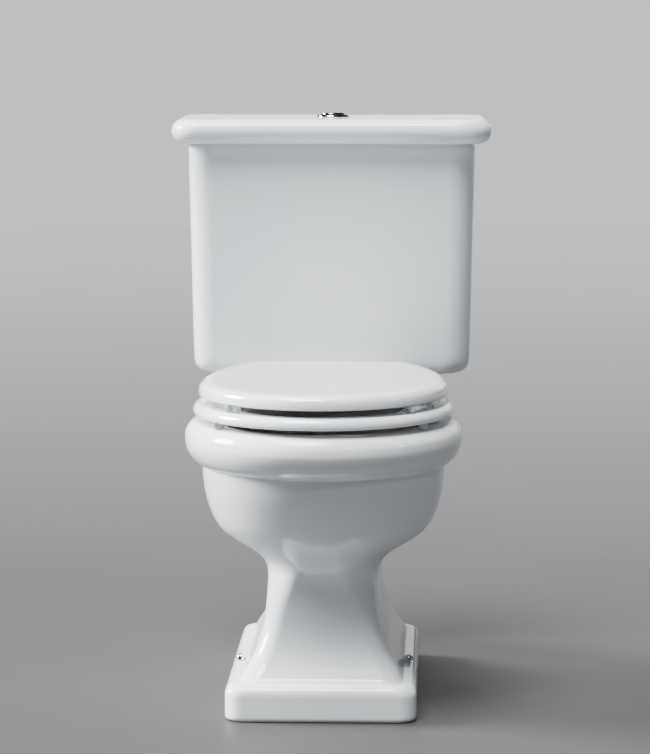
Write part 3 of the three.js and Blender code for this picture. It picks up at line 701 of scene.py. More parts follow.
# Rows of (z, inset of the sides, inset of the front and back).
TANK_OUTSIDE = [
    (TANK_BOTTOM, 26, 17),
    (TANK_BOTTOM + 1, 21, 13),
    (TANK_BOTTOM + 3.4, 16, 9.2),
    (TANK_BOTTOM + 7.5, 11, 6),
    (TANK_BOTTOM + 14, 8, 4),
    (TANK_BOTTOM + 26, 6.8, 3.0),
    (TANK_BOTTOM + 60, 5.8, 2.6),
    (TANK_BOTTOM + 200, 3.0, 1.2),
    (TANK_TOP - 3, 0.1, 0),
    (TANK_TOP - 1, 0.6, 0.6),
    (TANK_TOP, 2.4, 2.4),
]
TANK_INSIDE = [
    (TANK_TOP, 7.4, 7.4),
    (TANK_TOP - 1, 9.2, 9.2),
    (TANK_TOP - 3, 10, 10),
    (TANK_BOTTOM + 60, 15.6, 12.6),
    (TANK_BOTTOM + 30, 17, 14),
    (TANK_BOTTOM + 20, 21, 18),
    (TANK_FLOOR + 1.5, 28, 25),
    (TANK_FLOOR, 38, 34),
]


def box_ring(z, half, front, back, corner):
    return level(z, outline(half, front, back, (front + back) / 2, 0, corner, 18))


def tank_ring(row, corner):
    """One level of the tank; the outside leans in by less at the back than at the front."""
    z, side_inset, front_inset = row
    leans = corner == TANK_CORNER and z <= TANK_TOP - 4
    back = TANK_BACK + front_inset * (0.3 if leans else 1)
    return box_ring(z, TANK_HALF - side_inset, TANK_FRONT - front_inset, back, corner)


def make_tank():
    rings = [tank_ring(row, TANK_CORNER) for row in fine_rows(TANK_OUTSIDE, 60)]
    rings += [tank_ring(row, TANK_INNER_CORNER) for row in fine_rows(TANK_INSIDE, 40)]
    tank = rings_to_mesh("tank_glazed", rings)
    holes = [("flush_valve_body", 28.5), ("fill_valve_body", 11.5)]
    holes += [(f"coupling_bolt_{name}", BOLT_HOLE) for name, _ in SIDES]
    bored(tank, *[drill(node, radius, 420, 450) for node, radius in holes])
    stand_for(tank, "tank", 32)


LID_HALF, LID_FRONT, LID_CORNER = 235.5, 215, 46
LID_BOTTOM, LID_TOP, LID_PLATE = 768.3, 804, 788


def lid_ring(z, inset):
    return box_ring(z, LID_HALF - inset, LID_FRONT - inset, inset * 0.55, LID_CORNER - inset * 0.8)


def make_tank_lid():
    """A slab with a full bullnose edge, recessed underneath to sit in the tank's mouth."""
    rings = []
    for z, inset in ((LID_PLATE, 26.5), (LID_PLATE - 1.5, 21.5), (LID_PLATE - 5, 18.5), (LID_BOTTOM, 17.5)):
        half, front, back = TANK_HALF - inset, TANK_FRONT - inset, TANK_BACK + inset
        rings.append(box_ring(z, half, front, back, 24))
    edge = (LID_TOP - LID_BOTTOM) / 2
    middle = LID_BOTTOM + edge
    for degrees in np.linspace(-90, 90, 29):
        angle = math.radians(degrees)
        rings.append(lid_ring(middle + edge * math.sin(angle), edge * (1 - math.cos(angle))))
    rings.append(lid_ring(LID_TOP + 0.25, edge + 14))
    lid = rings_to_mesh("tank_lid_glazed", rings)
    boolean(lid, drill("button_collar", 21.5, 780, 810, 64))
    stand_for(lid, "tank_lid", 32)


# ---- seat and lid
SEAT_MID, SEAT_TAIL, SEAT_AROUND = 490, 293, 320
# Half width, front and straight hinge end of the seat's two parts, and the hole in the ring.
LID_OUTLINE, RING_OUTLINE = (173, 686, 272), (181, 692, 276)
HOLE_HALF, HOLE_FRONT, HOLE_BACK, HOLE_MID = 111, 627, 348, 485
RING_DROP = 2.6  # the ring's crown lies this much below its node's top, which only the buffers reach


def seat_outline(half, front, hinge, corner):
    """An oval cut straight across at its hinge end, with its two rear corners rounded."""
    samples = 2400
    fine = np.linspace(0, TAU, 2880, endpoint=False)
    length = np.where(np.sin(fine) > 0, front - SEAT_MID, SEAT_TAIL)
    xs, ws = half * np.cos(fine), SEAT_MID + length * np.sin(fine)
    below = ws < hinge
    xs = np.where(below, xs * (SEAT_MID - hinge) / np.maximum(SEAT_MID - ws, 1), xs)
    ws = np.where(below, hinge, ws)
    closed = np.array([xs, ws]).T
    steps = np.hypot(*(np.roll(closed, -1, axis=0) - closed).T)
    travelled = np.concatenate([[0], np.cumsum(steps)])
    closed = np.vstack([closed, closed[:1]])
    even = np.linspace(0, travelled[-1], samples, endpoint=False)
    ring = np.array([np.interp(even, travelled, closed[:, k]) for k in (0, 1)]).T
    blur = max(1, int(corner / (travelled[-1] / samples)))
    kernel = np.hanning(2 * blur + 1)
    kernel /= kernel.sum()
    xs, ws = [np.convolve(np.tile(ring[:, k], 3), kernel, "same")[samples:-samples] for k in (0, 1)]
    angle = np.arctan2(ws - SEAT_MID, xs) % TAU
    order = np.argsort(angle)
    wanted = np.linspace(0, TAU, SEAT_AROUND, endpoint=False)
    return np.array([np.interp(wanted, angle[order], v[order], period=TAU) for v in (xs, ws)]).T


def make_seat_lid():
    """A slab with a rolled edge and a slightly crowned top, hollowed underneath inside a lip."""
    bottom, top = heights("seat_lid")
    half, front, hinge = LID_OUTLINE
    rows = [(bottom + 9, 60), (bottom + 8.8, 24), (bottom + 8, 20.5), (bottom + 6, 19)]
    rows += [(bottom + 1.5, 18), (bottom + 0.2, 17), (bottom, 16), (bottom, 3)]
    rows += [(bottom + 0.5, 1), (bottom + 1.6, 0.2), (bottom + 4, 0), (top - 9.5, 0.7)]
    rows += [(top - 5.6, 2.2), (top - 2.9, 5), (top - 1.2, 9), (top - 0.35, 15), (top, 28), (top, 70)]
    rings = []
    for z, inset in fine_rows(rows, 64):
        points = seat_outline(half - inset, front - inset, hinge + inset * 0.12, 7)
        rings.append(level(z, points[::-1]))
    lid = rings_to_mesh("seat_lid_lacquered", rings)
    stand_for(lid, "seat_lid")


def arc(share, inset, z, rise, angles):
    """Part of a quarter round that starts upright on an edge at height z."""
    return [(share, inset * (1 - math.cos(a)), z + rise * math.sin(a)) for a in angles]


def make_seat_ring():
    """The ring, as one closed section carried round between its outer and inner outlines."""
    bottom, top = heights("seat_ring")
    top -= RING_DROP
    outer = seat_outline(*RING_OUTLINE, 10)
    angles = np.linspace(0, TAU, SEAT_AROUND, endpoint=False)
    length = np.where(np.sin(angles) > 0, HOLE_FRONT - HOLE_MID, HOLE_MID - HOLE_BACK)
    inner = np.array([HOLE_HALF * np.cos(angles), HOLE_MID + length * np.sin(angles)]).T
    quarter = np.linspace(0, math.pi / 2, 8)
    roof = bottom + 7
    # (share of the way from the outer edge to the inner edge, inset in mm, z)
    section = [(0, 19, bottom + 1.2), (0, 18.2, bottom + 0.3), (0, 17, bottom)]
    section += arc(0, 4, bottom + 4, -4, quarter[::-1])
    section += arc(0, 11, top - 11, 11, np.linspace(0, 1.35, 10))
    section += [(0.3, 0, top), (0.42, 0, top - 0.8), (0.6, 0, top - 2.6), (0.8, 0, top - 5)]
    section += arc(1, -9, top - 15.8, 9, np.linspace(1.25, 0, 9))
    section += arc(1, -4, bottom + 4, -4, quarter)
    section += [(1, -9, bottom), (1, -10.2, bottom + 0.3), (1, -11, bottom + 1.2)]
    section += [(1, -12, roof - 1.5), (1, -14, roof), (0, 22, roof), (0, 20, roof - 1.5)]
    across = inner - outer
    width = np.hypot(*across.T)[:, None]
    points, faces = [], []
    for k, (share, inset, z) in enumerate(section):
        points += level(z, (outer + across * (share + inset / width))[::-1])
        faces += strip(k * SEAT_AROUND, (k + 1) % len(section) * SEAT_AROUND, SEAT_AROUND)
    ring = mesh_object("seat_ring_lacquered", points, faces)
    clean(ring)
    stand_for(ring, "seat_ring")


# ---- shapes of small pieces
# Their sizes are millimetres: x, the distance from the wall w, and z.
def spun(profile, x=0, w=0, z=0, along="Z", sides=64, start=0.0):
    """A body of revolution. The profile runs once round the section, as (radius, place on the axis)."""
    count = len(profile)
    points, faces = [], []
    for i in range(sides):
        angle = start + TAU * i / sides
        faces += strip(i * count, (i + 1) % sides * count, count)
        for radius, place in profile:
            u, v = radius * math.cos(angle), radius * math.sin(angle)
            if along == "Z":
                points.append(at(x + u, w + v, place))
            elif along == "X":
                points.append(at(place, w + u, z + v))
            else:
                points.append(at(x + u, place, z + v))
    piece = mesh_object("spun", points, faces)
    clean(piece)
    return piece


def rounded(profile, radius, steps=3):
    """A closed section with its corners rounded, except those on the axis."""
    result = []
    for i, corner in enumerate(profile):
        here = np.array(corner, dtype=float)
        if corner[0] == 0:
            result.append(corner)
            continue
        trims = []
        for neighbour in (profile[i - 1], profile[(i + 1) % len(profile)]):
            edge = np.array(neighbour, dtype=float) - here
            length = np.hypot(*edge)
            trims.append(edge * min(radius, 0.45 * length) / length)
        for t in np.linspace(0, 1, steps + 1):
            result.append(tuple(here + (1 - t) ** 2 * trims[0] + t * t * trims[1]))
    return result


def bar(radius, low, high, x=0, w=0, z=0, along="Z", edge=0.4, sides=32):
    profile = rounded([(0, low), (radius, low), (radius, high), (0, high)], edge)
    return spun(profile, x, w, z, along, sides)


def cross_bar(radius, half_length, x, w, z):
    """A bar that points at the wall, with its middle at x, w, z."""
    return bar(radius, w - half_length, w + half_length, x, z=z, along="W")


def washer(inner, outer, z0, z1, x, w, edge=0.5):
    return spun(rounded([(inner, z0), (outer, z0), (outer, z1), (inner, z1)], edge), x, w)


def threaded(radius, low, high, pitch, depth):
    """The outside of a threaded stem, from low to high, as (radius, height)."""
    turns = int((high - low) / pitch)
    heights = np.linspace(low, high, 2 * turns + 1)
    return [(radius - depth * (k % 2), height) for k, height in enumerate(heights)]


def round_edges(piece, width, segments=3, degrees=40):
    limit = math.radians(degrees)
    mesh = bmesh.new()
    mesh.from_mesh(piece.data)
    sharp = [e for e in mesh.edges if len(e.link_faces) == 2 and e.calc_face_angle(0) > limit]
    bmesh.ops.bevel(mesh, geom=sharp, offset=width, segments=segments, profile=0.5, affect="EDGES")
    mesh.to_mesh(piece.data)
    mesh.free()
    return piece


def block(x0, x1, w0, w1, z0, z1, edge=0.6):
    (x0, x1), (w0, w1) = sorted((x0, x1)), sorted((w0, w1))
    corners = [(x0, w0), (x1, w0), (x1, w1), (x0, w1)]
    piece = rings_to_mesh("block", [level(z, corners) for z in (z0, z1)])
    return round_edges(piece, edge * MM)


def plate(corners, low, high, edge):
    """A flat plate with the given corners, as x and z, whose thickness runs from low to high."""
    piece = rings_to_mesh("plate", [[at(x, w, z) for x, z in corners] for w in (low, high)])
    return round_edges(piece, edge * MM)


def pivot(x, w, foot, z):
    """Two ears that stand on foot, and the pin between them at height z."""
    ears = [block(x - 4, x + 4, w + near, w + far, foot, z + 4, 1) for near, far in ((-9, -6), (6, 9))]
    return [*ears, cross_bar(1.8, 7, x, w, z)]


def rocking(beam, half_depth, x, w, z):
    """A beam with a bored boss, to turn on a pivot's pin."""
    return bored(fused(beam, cross_bar(4, half_depth, x, w, z)), cross_bar(2.2, 8, x, w, z))


def finished(piece, node, degrees=35):
    clean(piece, 2e-6)
    piece.name = f"{node}_fine"
    piece.data.name = piece.name
    stand_for(piece, node, degrees)


# ---- buttons
VALVE_W, OVERALL_Z = 105, 804
PUSH_X, PIVOT_X, LIFT_X = 14, 30, 46  # push rods, rocker pivots and lift rods, each side of the centre
LIFT_W, PUSH_ROD, LIFT_ROD = VALVE_W - 7.5, 2.4, 2.5
BRIDGE_Z, PIVOT_Z, VALVE_SEAT_Z = 600, 620, 455
BUTTON_BOTTOM, COLLAR_FLOOR = 797, 784
GAP = 0.3


def hex_nut(node, x, w, z0, z1, bore, corners):
    flat = corners - 1.5
    profile = [(0, z0), (flat, z0), (corners, z0 + 1), (corners, z1 - 1), (flat, z1), (0, z1)]
    nut = spun(profile, x, w, sides=6, start=TAU / 4)
    round_edges(nut, 0.4 * MM, 2, 20)
    finished(bored(nut, bar(bore, z0 - 2, z1 + 2, x, w, sides=64)), node)


def make_collar():
    """Flanged sleeve that holds both buttons in the tank lid."""
    bezel = [
        (18.6, COLLAR_FLOOR - 4),
        (20.8, COLLAR_FLOOR - 4),
        (20.8, OVERALL_Z + GAP),
        (25, OVERALL_Z + GAP),
        (24.6, OVERALL_Z + 1.8),
        (23.2, OVERALL_Z + 3.3),
        (20.8, OVERALL_Z + 4.4),
        (18.6, OVERALL_Z + 4.5),
    ]
    web = bar(19.5, COLLAR_FLOOR - 4, COLLAR_FLOOR, 0, VALVE_W, edge=0.2, sides=64)
    collar = fused(spun(rounded(bezel, 0.6), 0, VALVE_W, sides=128), web)
    holes = [bar(3.2, 770, 790, side * (PUSH_X - 4), VALVE_W) for _, side in SIDES]
    finished(bored(collar, *holes), "button_collar")
    hex_nut("button_collar_nut", 0, VALVE_W, 780, 787.7, 21.1, 30)


def make_button(node, side):
    """Half of a round button with a low dome and a raised arc round its edge."""
    top = OVERALL_Z + 8
    dome = 13.2
    profile = [(0, BUTTON_BOTTOM), (18, BUTTON_BOTTOM), (18, top - 3.5), (17.4, top - 1.9)]
    profile += [(16, top - 1.1), (14.8, top - 1.0), (14.1, top - 1.5), (dome, top - 1.4)]
    profile += [(r, top - 1.1 * (r / dome) ** 2 - 0.3 * (r / dome) ** 6) for r in np.linspace(12, 1, 8)]
    profile += [(0, top)]
    whole = spun(rounded(profile, 0.4), 0, VALVE_W, sides=128)
    half = block(0.4 * side, 30 * side, VALVE_W - 30, VALVE_W + 30, 780, 830, 0.1)
    boolean(whole, half, "INTERSECT")
    clean(whole, 2e-6)
    round_edges(whole, 0.25 * MM, 2, 60)
    finished(whole, node)


def make_push_rod(node, side):
    """Rod under a button, cranked outwards to stand over its lever."""
    inner, outer = (PUSH_X - 4) * side, PUSH_X * side
    ends = inner - PUSH_ROD * side, outer + PUSH_ROD * side
    crank = block(*ends, VALVE_W - PUSH_ROD, VALVE_W + PUSH_ROD, 698, 703)
    upper = bar(PUSH_ROD, 700, BUTTON_BOTTOM - GAP, inner, VALVE_W)
    finished(fused(crank, upper, bar(PUSH_ROD, PIVOT_Z + 2.5, 700, outer, VALVE_W, edge=1.2)), node)


def make_spring(node, side):
    """Coil of steel wire that returns a button, with closed ends."""
    z0, z1 = COLLAR_FLOOR + 0.9, 796.1
    turns, radius, wire = 4, 4.6, 0.5
    x0 = side * (PUSH_X - 4)
    up = np.array((0, 0, 1))
    rings = []
    for t in np.linspace(0, 1, 200):
        angle = TAU * turns * t
        out = np.array((math.cos(angle), math.sin(angle), 0))
        rise = t - math.sin(TAU * t) / TAU * 0.6
        middle = np.array((x0, VALVE_W, z0 + (z1 - z0) * rise)) + radius * out
        section = [TAU * k / 10 for k in range(10)]
        rings.append([at(*(middle + wire * (math.cos(a) * out + math.sin(a) * up))) for a in section])
    spring = rings_to_mesh("spring", rings)
    finished(spring, node, 60)
    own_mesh(spring)


# ---- flush valve
def lift_rod(side, foot):
    """Rod beside the overflow tube, with the tab that its lever lifts."""
    x = side * LIFT_X
    tab = block(x - 3, x + 3, LIFT_W - 2, LIFT_W + 9, PIVOT_Z + 3.2, PIVOT_Z + 8, 1)
    return [bar(LIFT_ROD, foot, PIVOT_Z + 8, x, LIFT_W), tab]


def make_flush_valve():
    base = [(23, 388), (27, 388), (27, 389), *threaded(27, 390, TANK_FLOOR - 1, 3, 1)]
    base += [(27, TANK_FLOOR), (27, TANK_FLOOR + 3.3), (42, TANK_FLOOR + 3.3), (42, TANK_FLOOR + 8)]
    base += [(27, TANK_FLOOR + 9), (26, VALVE_SEAT_Z - 1.5), (25, VALVE_SEAT_Z), (23, VALVE_SEAT_Z)]
    body = spun(rounded(base, 0.5, 2), 0, VALVE_W, sides=96)
    pieces = [washer(14, 40, BRIDGE_Z, BRIDGE_Z + 6, 0, VALVE_W, 1)]
    for degrees in (45, 135, 225, 315):
        x, w = [36 * f(math.radians(degrees)) for f in (math.cos, math.sin)]
        pieces.append(bar(4, TANK_FLOOR + 5, BRIDGE_Z + 3, x, VALVE_W + w))
    for _, side in SIDES:
        pieces += pivot(side * PIVOT_X, VALVE_W, BRIDGE_Z + 4, PIVOT_Z)
        ends = 34 * side, 52 * side
        pieces.append(block(*ends, VALVE_W - 14, VALVE_W - 1, BRIDGE_Z, BRIDGE_Z + 6, 1))
    holes = [bar(3.2, BRIDGE_Z - 2, BRIDGE_Z + 8, side * LIFT_X, LIFT_W) for _, side in SIDES]
    finished(bored(fused(body, *pieces), *holes), "flush_valve_body")
    finished(washer(28, 40, TANK_FLOOR + GAP, TANK_FLOOR + 3, 0, VALVE_W), "flush_valve_washer")
    finished(washer(10, 25, VALVE_SEAT_Z + GAP, VALVE_SEAT_Z + 4.3, 0, VALVE_W, 0.8), "flush_seal")
    hex_nut("flush_valve_nut", 0, VALVE_W, RIM_Z + 12, TANK_BOTTOM - GAP, 27.6, 39)


def make_overflow_tube():
    foot = VALVE_SEAT_Z + 4.6
    profile = [(10, foot), (22, foot), (22, foot + 2.4), (14.5, foot + 5), (12.5, foot + 9)]
    profile += [(12.5, BRIDGE_Z - 8), (10, BRIDGE_Z - 8)]
    tube_piece = spun(rounded(profile, 0.7), 0, VALVE_W, sides=80)
    arm = block(11, LIFT_X + 2, VALVE_W - 9.5, VALVE_W + 2, VALVE_SEAT_Z + 16, VALVE_SEAT_Z + 22, 1.2)
    finished(fused(tube_piece, arm, *lift_rod(1, VALVE_SEAT_Z + 18)), "overflow_tube")
    finished(fused(*lift_rod(-1, VALVE_SEAT_Z + 40)), "half_flush_lift_rod")


def make_lever(node, side):
    ends = (PUSH_X - 3) * side, (LIFT_X + 3) * side
    beam = block(*ends, VALVE_W - 4, VALVE_W + 4, PIVOT_Z - 2, PIVOT_Z + 2, 0.9)
    finished(rocking(beam, 4, side * PIVOT_X, VALVE_W, PIVOT_Z), node)


# ---- fill valve
INLET_X, INLET_W = -150, 80
HEAD_Z, ARM_Z, FLOAT_BOTTOM = 640, 668, 560
ARM_PIVOT_X, LINK_X = INLET_X + 8, INLET_X + 42
PLUNGER_X = ARM_PIVOT_X - 12


def make_fill_valve_body():
    profile = [(6, 376), (9.6, 376), *threaded(10.3, 377, TANK_FLOOR - 1, 1.8, 0.7)]
    profile += [(10.3, TANK_FLOOR), (10.3, TANK_FLOOR + 3.3), (17, TANK_FLOOR + 3.3), (17, TANK_FLOOR + 8)]
    profile += [(13, TANK_FLOOR + 9), (13, HEAD_Z), (6, HEAD_Z)]
    finished(spun(rounded(profile, 0.4, 2), INLET_X, INLET_W, sides=80), "fill_valve_body")
    finished(washer(10.6, 17, TANK_FLOOR + GAP, TANK_FLOOR + 3, INLET_X, INLET_W), "fill_valve_washer")
    hex_nut("fill_valve_nut", INLET_X, INLET_W, 416, TANK_BOTTOM - GAP, 10.6, 18)


def make_fill_valve_head():
    profile = [(0, HEAD_Z + GAP), (19, HEAD_Z + GAP), (19, HEAD_Z + 17), (17.5, HEAD_Z + 19.2)]
    profile += [(14, HEAD_Z + 20), (0, HEAD_Z + 20)]
    outside = spun(rounded(profile, 0.8), INLET_X, INLET_W)
    head = fused(outside, *pivot(ARM_PIVOT_X, INLET_W, HEAD_Z + 18, ARM_Z))
    finished(bored(head, bar(3.1, HEAD_Z + 8, HEAD_Z + 24, PLUNGER_X, INLET_W)), "fill_valve_head")
    plunger = bar(2.5, HEAD_Z + 9, ARM_Z - 2.3, PLUNGER_X, INLET_W, edge=1)
    finished(plunger, "fill_valve_plunger")


def make_fill_valve_arm():
    beam = block(PLUNGER_X - 4, LINK_X + 9, INLET_W - 5, INLET_W + 5, ARM_Z - 2, ARM_Z + 2, 1)
    ends = LINK_X - 7, LINK_X + 7
    slot = block(*ends, INLET_W - 2.8, INLET_W + 2.8, ARM_Z - 6, ARM_Z + 6, 1.5)
    arm = rocking(beam, 5, ARM_PIVOT_X, INLET_W, ARM_Z)
    finished(bored(arm, slot), "fill_valve_arm")


def make_float():
    top = FLOAT_BOTTOM + 55
    profile = [(30.5, FLOAT_BOTTOM), (34, FLOAT_BOTTOM), (34, top), (14, top), (14, FLOAT_BOTTOM)]
    profile += [(16.5, FLOAT_BOTTOM), (17, top - 4), (30, top - 4)]
    cup = spun(rounded(profile, 1.5, 4), INLET_X, INLET_W, sides=96)
    lug = block(INLET_X + 32, LINK_X + 4, INLET_W - 4, INLET_W + 4, top - 8, top, 1)
    hole = bar(2.3, top - 12, top + 2, LINK_X, INLET_W)
    finished(bored(fused(cup, lug), hole), "fill_valve_float")
    foot, head = top - 9, ARM_Z + 12
    link = [(0, foot), (2, foot)]
    flanges = (3.2, top + GAP, top + 4), (3.6, ARM_Z - 10, ARM_Z - 6), (3.6, ARM_Z + 4, ARM_Z + 8)
    for radius, z0, z1 in flanges:
        link += [(2, z0), (radius, z0), (radius, z1), (2, z1)]
    link += [(2, head), (0, head)]
    finished(spun(rounded(link, 0.6), LINK_X, INLET_W, sides=48), "fill_valve_link")


# ---- fasteners and hinge
HINGE_X, HINGE_W, HINGE_Z = 77.5, 262, 434
HINGE_ROD, KNUCKLE = 4, 7
RING_BOTTOM, SEAT_LID_BOTTOM = 411.4, 437.4
HINGE_STUD, COUPLING_BOLT, COUPLING_X = 4, 4.5, 75
SCREW_X, SCREW_W = 118.5, 440


def make_wing_nut(node, x, w, top, bolt_radius):
    nut = bar(bolt_radius + 4.5, top - 10, top, x, w, edge=1)
    for _, side in SIDES:
        wing = [(2, -9), (9, -11.5), (15, -14), (19, -13), (20, -9), (18.5, -5), (14, -3), (2, -4)]
        corners = [(x + side * p, top + z) for p, z in wing]
        fused(nut, plate(corners, w - 1.5, w + 1.5, 0.9))
    finished(bored(nut, bar(bolt_radius + GAP, top - 24, top + 4, x, w)), node)


def make_coupling(name, side):
    """Bolt that draws the tank down on the gasket, with its washer and wing nut."""
    x = side * COUPLING_X
    stem = [(0, DECK_PLATE_Z - 24), (3.6, DECK_PLATE_Z - 24)]
    stem += threaded(COUPLING_BOLT, DECK_PLATE_Z - 23, TANK_BOTTOM, 1.5, 0.5)
    stem += [(COUPLING_BOLT, TANK_BOTTOM + 1), (COUPLING_BOLT, TANK_FLOOR + 4.3)]
    stem += [(11, TANK_FLOOR + 4.3), (11, TANK_FLOOR + 6), (9.5, TANK_FLOOR + 8.2)]
    stem += [(6, TANK_FLOOR + 9), (0, TANK_FLOOR + 9)]
    bolt = spun(rounded(stem, 0.3, 2), x, VALVE_W)
    driver = block(x - 12, x + 12, VALVE_W - 1, VALVE_W + 1, TANK_FLOOR + 7.2, TANK_FLOOR + 12, 0.1)
    finished(bored(bolt, driver), f"coupling_bolt_{name}")
    rubber = washer(4.8, 13, TANK_FLOOR + GAP, TANK_FLOOR + 4, x, VALVE_W, 0.8)
    finished(rubber, f"coupling_washer_{name}")
    make_wing_nut(f"coupling_wing_nut_{name}", x, VALVE_W, DECK_PLATE_Z - GAP, COUPLING_BOLT)


def make_floor_screw(name, side):
    """Screw through the plinth, and the domed cap over its head."""
    x = side * SCREW_X
    base, top = PLINTH_TOP + 1.4, PLINTH_TOP + 5
    stem = [(0, 1), *threaded(4, 5, PLINTH_TOP, 1.8, 0.7), (4, PLINTH_TOP + 1.5)]
    stem += [(5.5, PLINTH_TOP + 1.5), (5.5, top - 1), (4, top), (0, top)]
    finished(spun(rounded(stem, 0.3, 2), x, SCREW_W), f"floor_screw_{name}")
    outside = [(7.2 * math.cos(a), base + 8.2 * math.sin(a)) for a in np.linspace(0, 1.5, 12)]
    inside = [(0, PLINTH_TOP + 5.6), (5.9, PLINTH_TOP + 5.6), (5.9, base)]
    cap = spun([*outside, (0, PLINTH_TOP + 9.6), *inside], x, SCREW_W, sides=80)
    finished(cap, f"floor_screw_cap_{name}")


def along_hinge(radius, x0, x1, edge=0.4):
    return bar(radius, *sorted((x0, x1)), w=HINGE_W, z=HINGE_Z, along="X", edge=edge, sides=48)


def make_hinge_post(name, side):
    """Post with a dished foot, an eye for the rod, and its stud down through the deck."""
    x = side * HINGE_X
    foot = RIM_Z + GAP
    stud = [(0, DECK_PLATE_Z - 26), *threaded(HINGE_STUD, DECK_PLATE_Z - 25, foot - 2, 1.5, 0.5)]
    stud += [(HINGE_STUD, foot)]
    stud += [(19, foot), (19, foot + 1.6), (17.6, foot + 3), (13, foot + 4.6), (9, foot + 6)]
    stud += [(7.4, foot + 9), (7, foot + 14), (7, HINGE_Z), (0, HINGE_Z)]
    post = spun(rounded(stud, 0.3, 2), x, HINGE_W, sides=80)
    eye = along_hinge(8, x - 7.5, x + 7.5, 0.9)
    bore = along_hinge(HINGE_ROD + GAP, x - 12, x + 12)
    finished(bored(fused(post, eye), bore), f"hinge_post_{name}")
    make_wing_nut(f"hinge_wing_nut_{name}", x, HINGE_W, DECK_PLATE_Z - GAP, HINGE_STUD)


def make_hinge_leaves(name, side):
    """The ring's leaf runs under the ring and turns up behind it; the lid's leaf lies under the lid."""
    hole = HINGE_ROD + GAP
    x0, x1 = sorted((88 * side, 105 * side))
    under = RING_BOTTOM - 3.3
    strap = block(x0, x1, 267.5, 330, under, RING_BOTTOM - GAP, 1)
    tab = block(x0, x1, 267.5, 272.5, under, HINGE_Z, 1)
    leaf = fused(strap, tab, along_hinge(KNUCKLE, x0, x1, 0.8))
    finished(bored(leaf, along_hinge(hole, x0 - 4, x1 + 4)), f"ring_hinge_leaf_{name}")
    x0, x1 = sorted((50 * side, 67 * side))
    strap = block(x0, x1, 265, 330, SEAT_LID_BOTTOM - 3, SEAT_LID_BOTTOM - GAP, 0.9)
    leaf = fused(strap, along_hinge(KNUCKLE, x0, x1, 0.8))
    finished(bored(leaf, along_hinge(hole, x0 - 4, x1 + 4)), f"lid_hinge_leaf_{name}")


def make_hinge_rod():
    end, ball = 111, 6.5
    profile = [(0, -end - ball)]
    for a in np.linspace(0.1, 2.45, 12):
        profile.append((ball * math.sin(a), -end - ball * math.cos(a)))
    profile = [*profile, *[(r, -x) for r, x in reversed(profile)]]
    rod_piece = spun(profile, w=HINGE_W, z=HINGE_Z, along="X", sides=48)
    finished(rod_piece, "hinge_rod")


def make_buffer(node, width, depth, drop=0.0):
    """Soft pad with well rounded edges in the middle of its node's box; drop carries it lower."""
    bottom, top = heights(node)
    x = centre(node).x / MM
    w = (WALL_Y - centre(node).y) / MM
    ends = x - width / 2, x + width / 2, w - depth / 2, w + depth / 2
    finished(block(*ends, bottom - drop, top, 2.2), node)


def make_small_pieces():
    make_collar()
    make_flush_valve()
    make_overflow_tube()
    make_fill_valve_body()
    make_fill_valve_head()
    make_fill_valve_arm()
    make_float()
    make_hinge_rod()
    gasket = washer(40, 56, RIM_Z + GAP, TANK_BOTTOM - GAP, 0, VALVE_W, 4)
    finished(gasket, "coupling_gasket")
    for name, side in SIDES:
        flush = "half" if side < 0 else "full"
        make_button(f"{flush}_flush_button", side)
        make_push_rod(f"{flush}_flush_push_rod", side)
        make_spring(f"{flush}_flush_spring", side)
        make_lever(f"{flush}_flush_lever", side)
        make_coupling(name, side)
        make_floor_screw(name, side)
        make_hinge_post(name, side)
        make_hinge_leaves(name, side)
        make_buffer(f"ring_buffer_front_{name}", 13, 18)
        make_buffer(f"ring_buffer_rear_{name}", 13, 18)
        make_buffer(f"lid_buffer_{name}", 10, 10, RING_DROP)


# ---- floor, light, camera
def make_floor():
    """A plain floor that runs past the top of the picture."""
    size = 160.0
    points = [(-size, -size, 0), (size, -size, 0), (size, size, 0), (-size, size, 0)]
    floor = mesh_object("floor", points, [(0, 1, 2, 3)])
    floor.data.materials.append(studio_floor())


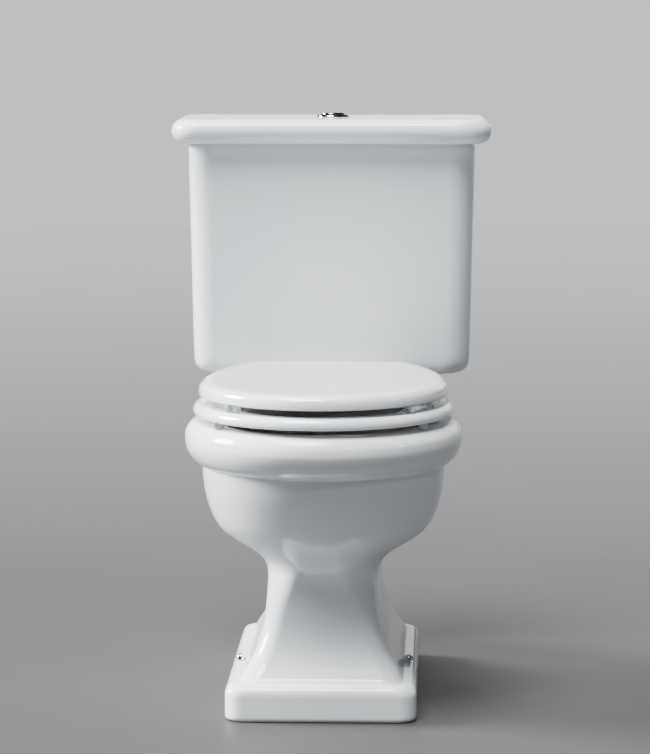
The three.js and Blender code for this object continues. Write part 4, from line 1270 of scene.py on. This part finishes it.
def area_light(name, place, target, width, height, power):
    light = bpy.data.lights.new(name, "AREA")
    light.shape = "RECTANGLE"
    light.size, light.size_y = width, height
    light.energy = power
    lamp = bpy.data.objects.new(name, light)
    lamp.location = place
    lamp.rotation_mode = "QUATERNION"
    direction = Vector(target) - Vector(place)
    lamp.rotation_quaternion = direction.to_track_quat("-Z", "Y")
    bpy.context.collection.objects.link(lamp)


def sun(name, source, strength, spread):
    """A soft distant light from the direction of source; spread is its size in degrees."""
    light = bpy.data.lights.new(name, "SUN")
    light.energy = strength
    light.angle = math.radians(spread)
    light.color = (0.965, 0.985, 1.0)
    lamp = bpy.data.objects.new(name, light)
    lamp.rotation_mode = "QUATERNION"
    lamp.rotation_quaternion = (-Vector(source)).to_track_quat("-Z", "Y")
    bpy.context.collection.objects.link(lamp)


def make_lights():
    """Broad light from the left and above, two small windows on the right, a pale far wall."""
    middle = (0, -0.05, 0.45)
    sun("left", (-0.89, 0.19, 0.42), 15.0, 22)
    sun("above", (-0.20, -0.28, 0.94), 9.4, 30)
    area_light("near_window", (1.05, -2.25, 2.13), middle, 0.28, 0.2, 7.0)
    area_light("far_window", (2.73, -0.83, 1.38), middle, 0.2, 0.2, 5.0)
    area_light("far_wall", (0, 8.0, 2.5), (0, 0, 0.8), 10.0, 3.1, 120)
    world = bpy.data.worlds.new("studio")
    world.use_nodes = True
    background = world.node_tree.nodes["Background"]
    background.inputs["Color"].default_value = (0.026, 0.029, 0.032, 1)
    background.inputs["Strength"].default_value = 1.0
    bpy.context.scene.world = world


def make_camera():
    """Eye at about 1 m, 5.1 m from the wall, turned slightly left and down towards the toilet."""
    camera = bpy.data.cameras.new("camera")
    camera.sensor_width = 36
    camera.lens = 159.9
    camera.clip_end = 400
    eye = bpy.data.objects.new("camera", camera)
    eye.location = (0.168, WALL_Y - 5.1003, 1.0158)
    pitch, yaw = math.radians(6.867), math.radians(2.06)
    eye.rotation_euler = (math.pi / 2 - pitch, 0, yaw)
    bpy.context.collection.objects.link(eye)
    bpy.context.scene.camera = eye


make_camera()
make_lights()
make_floor()
make_pan()
make_tank()
make_tank_lid()
make_seat_lid()
make_seat_ring()
make_small_pieces()
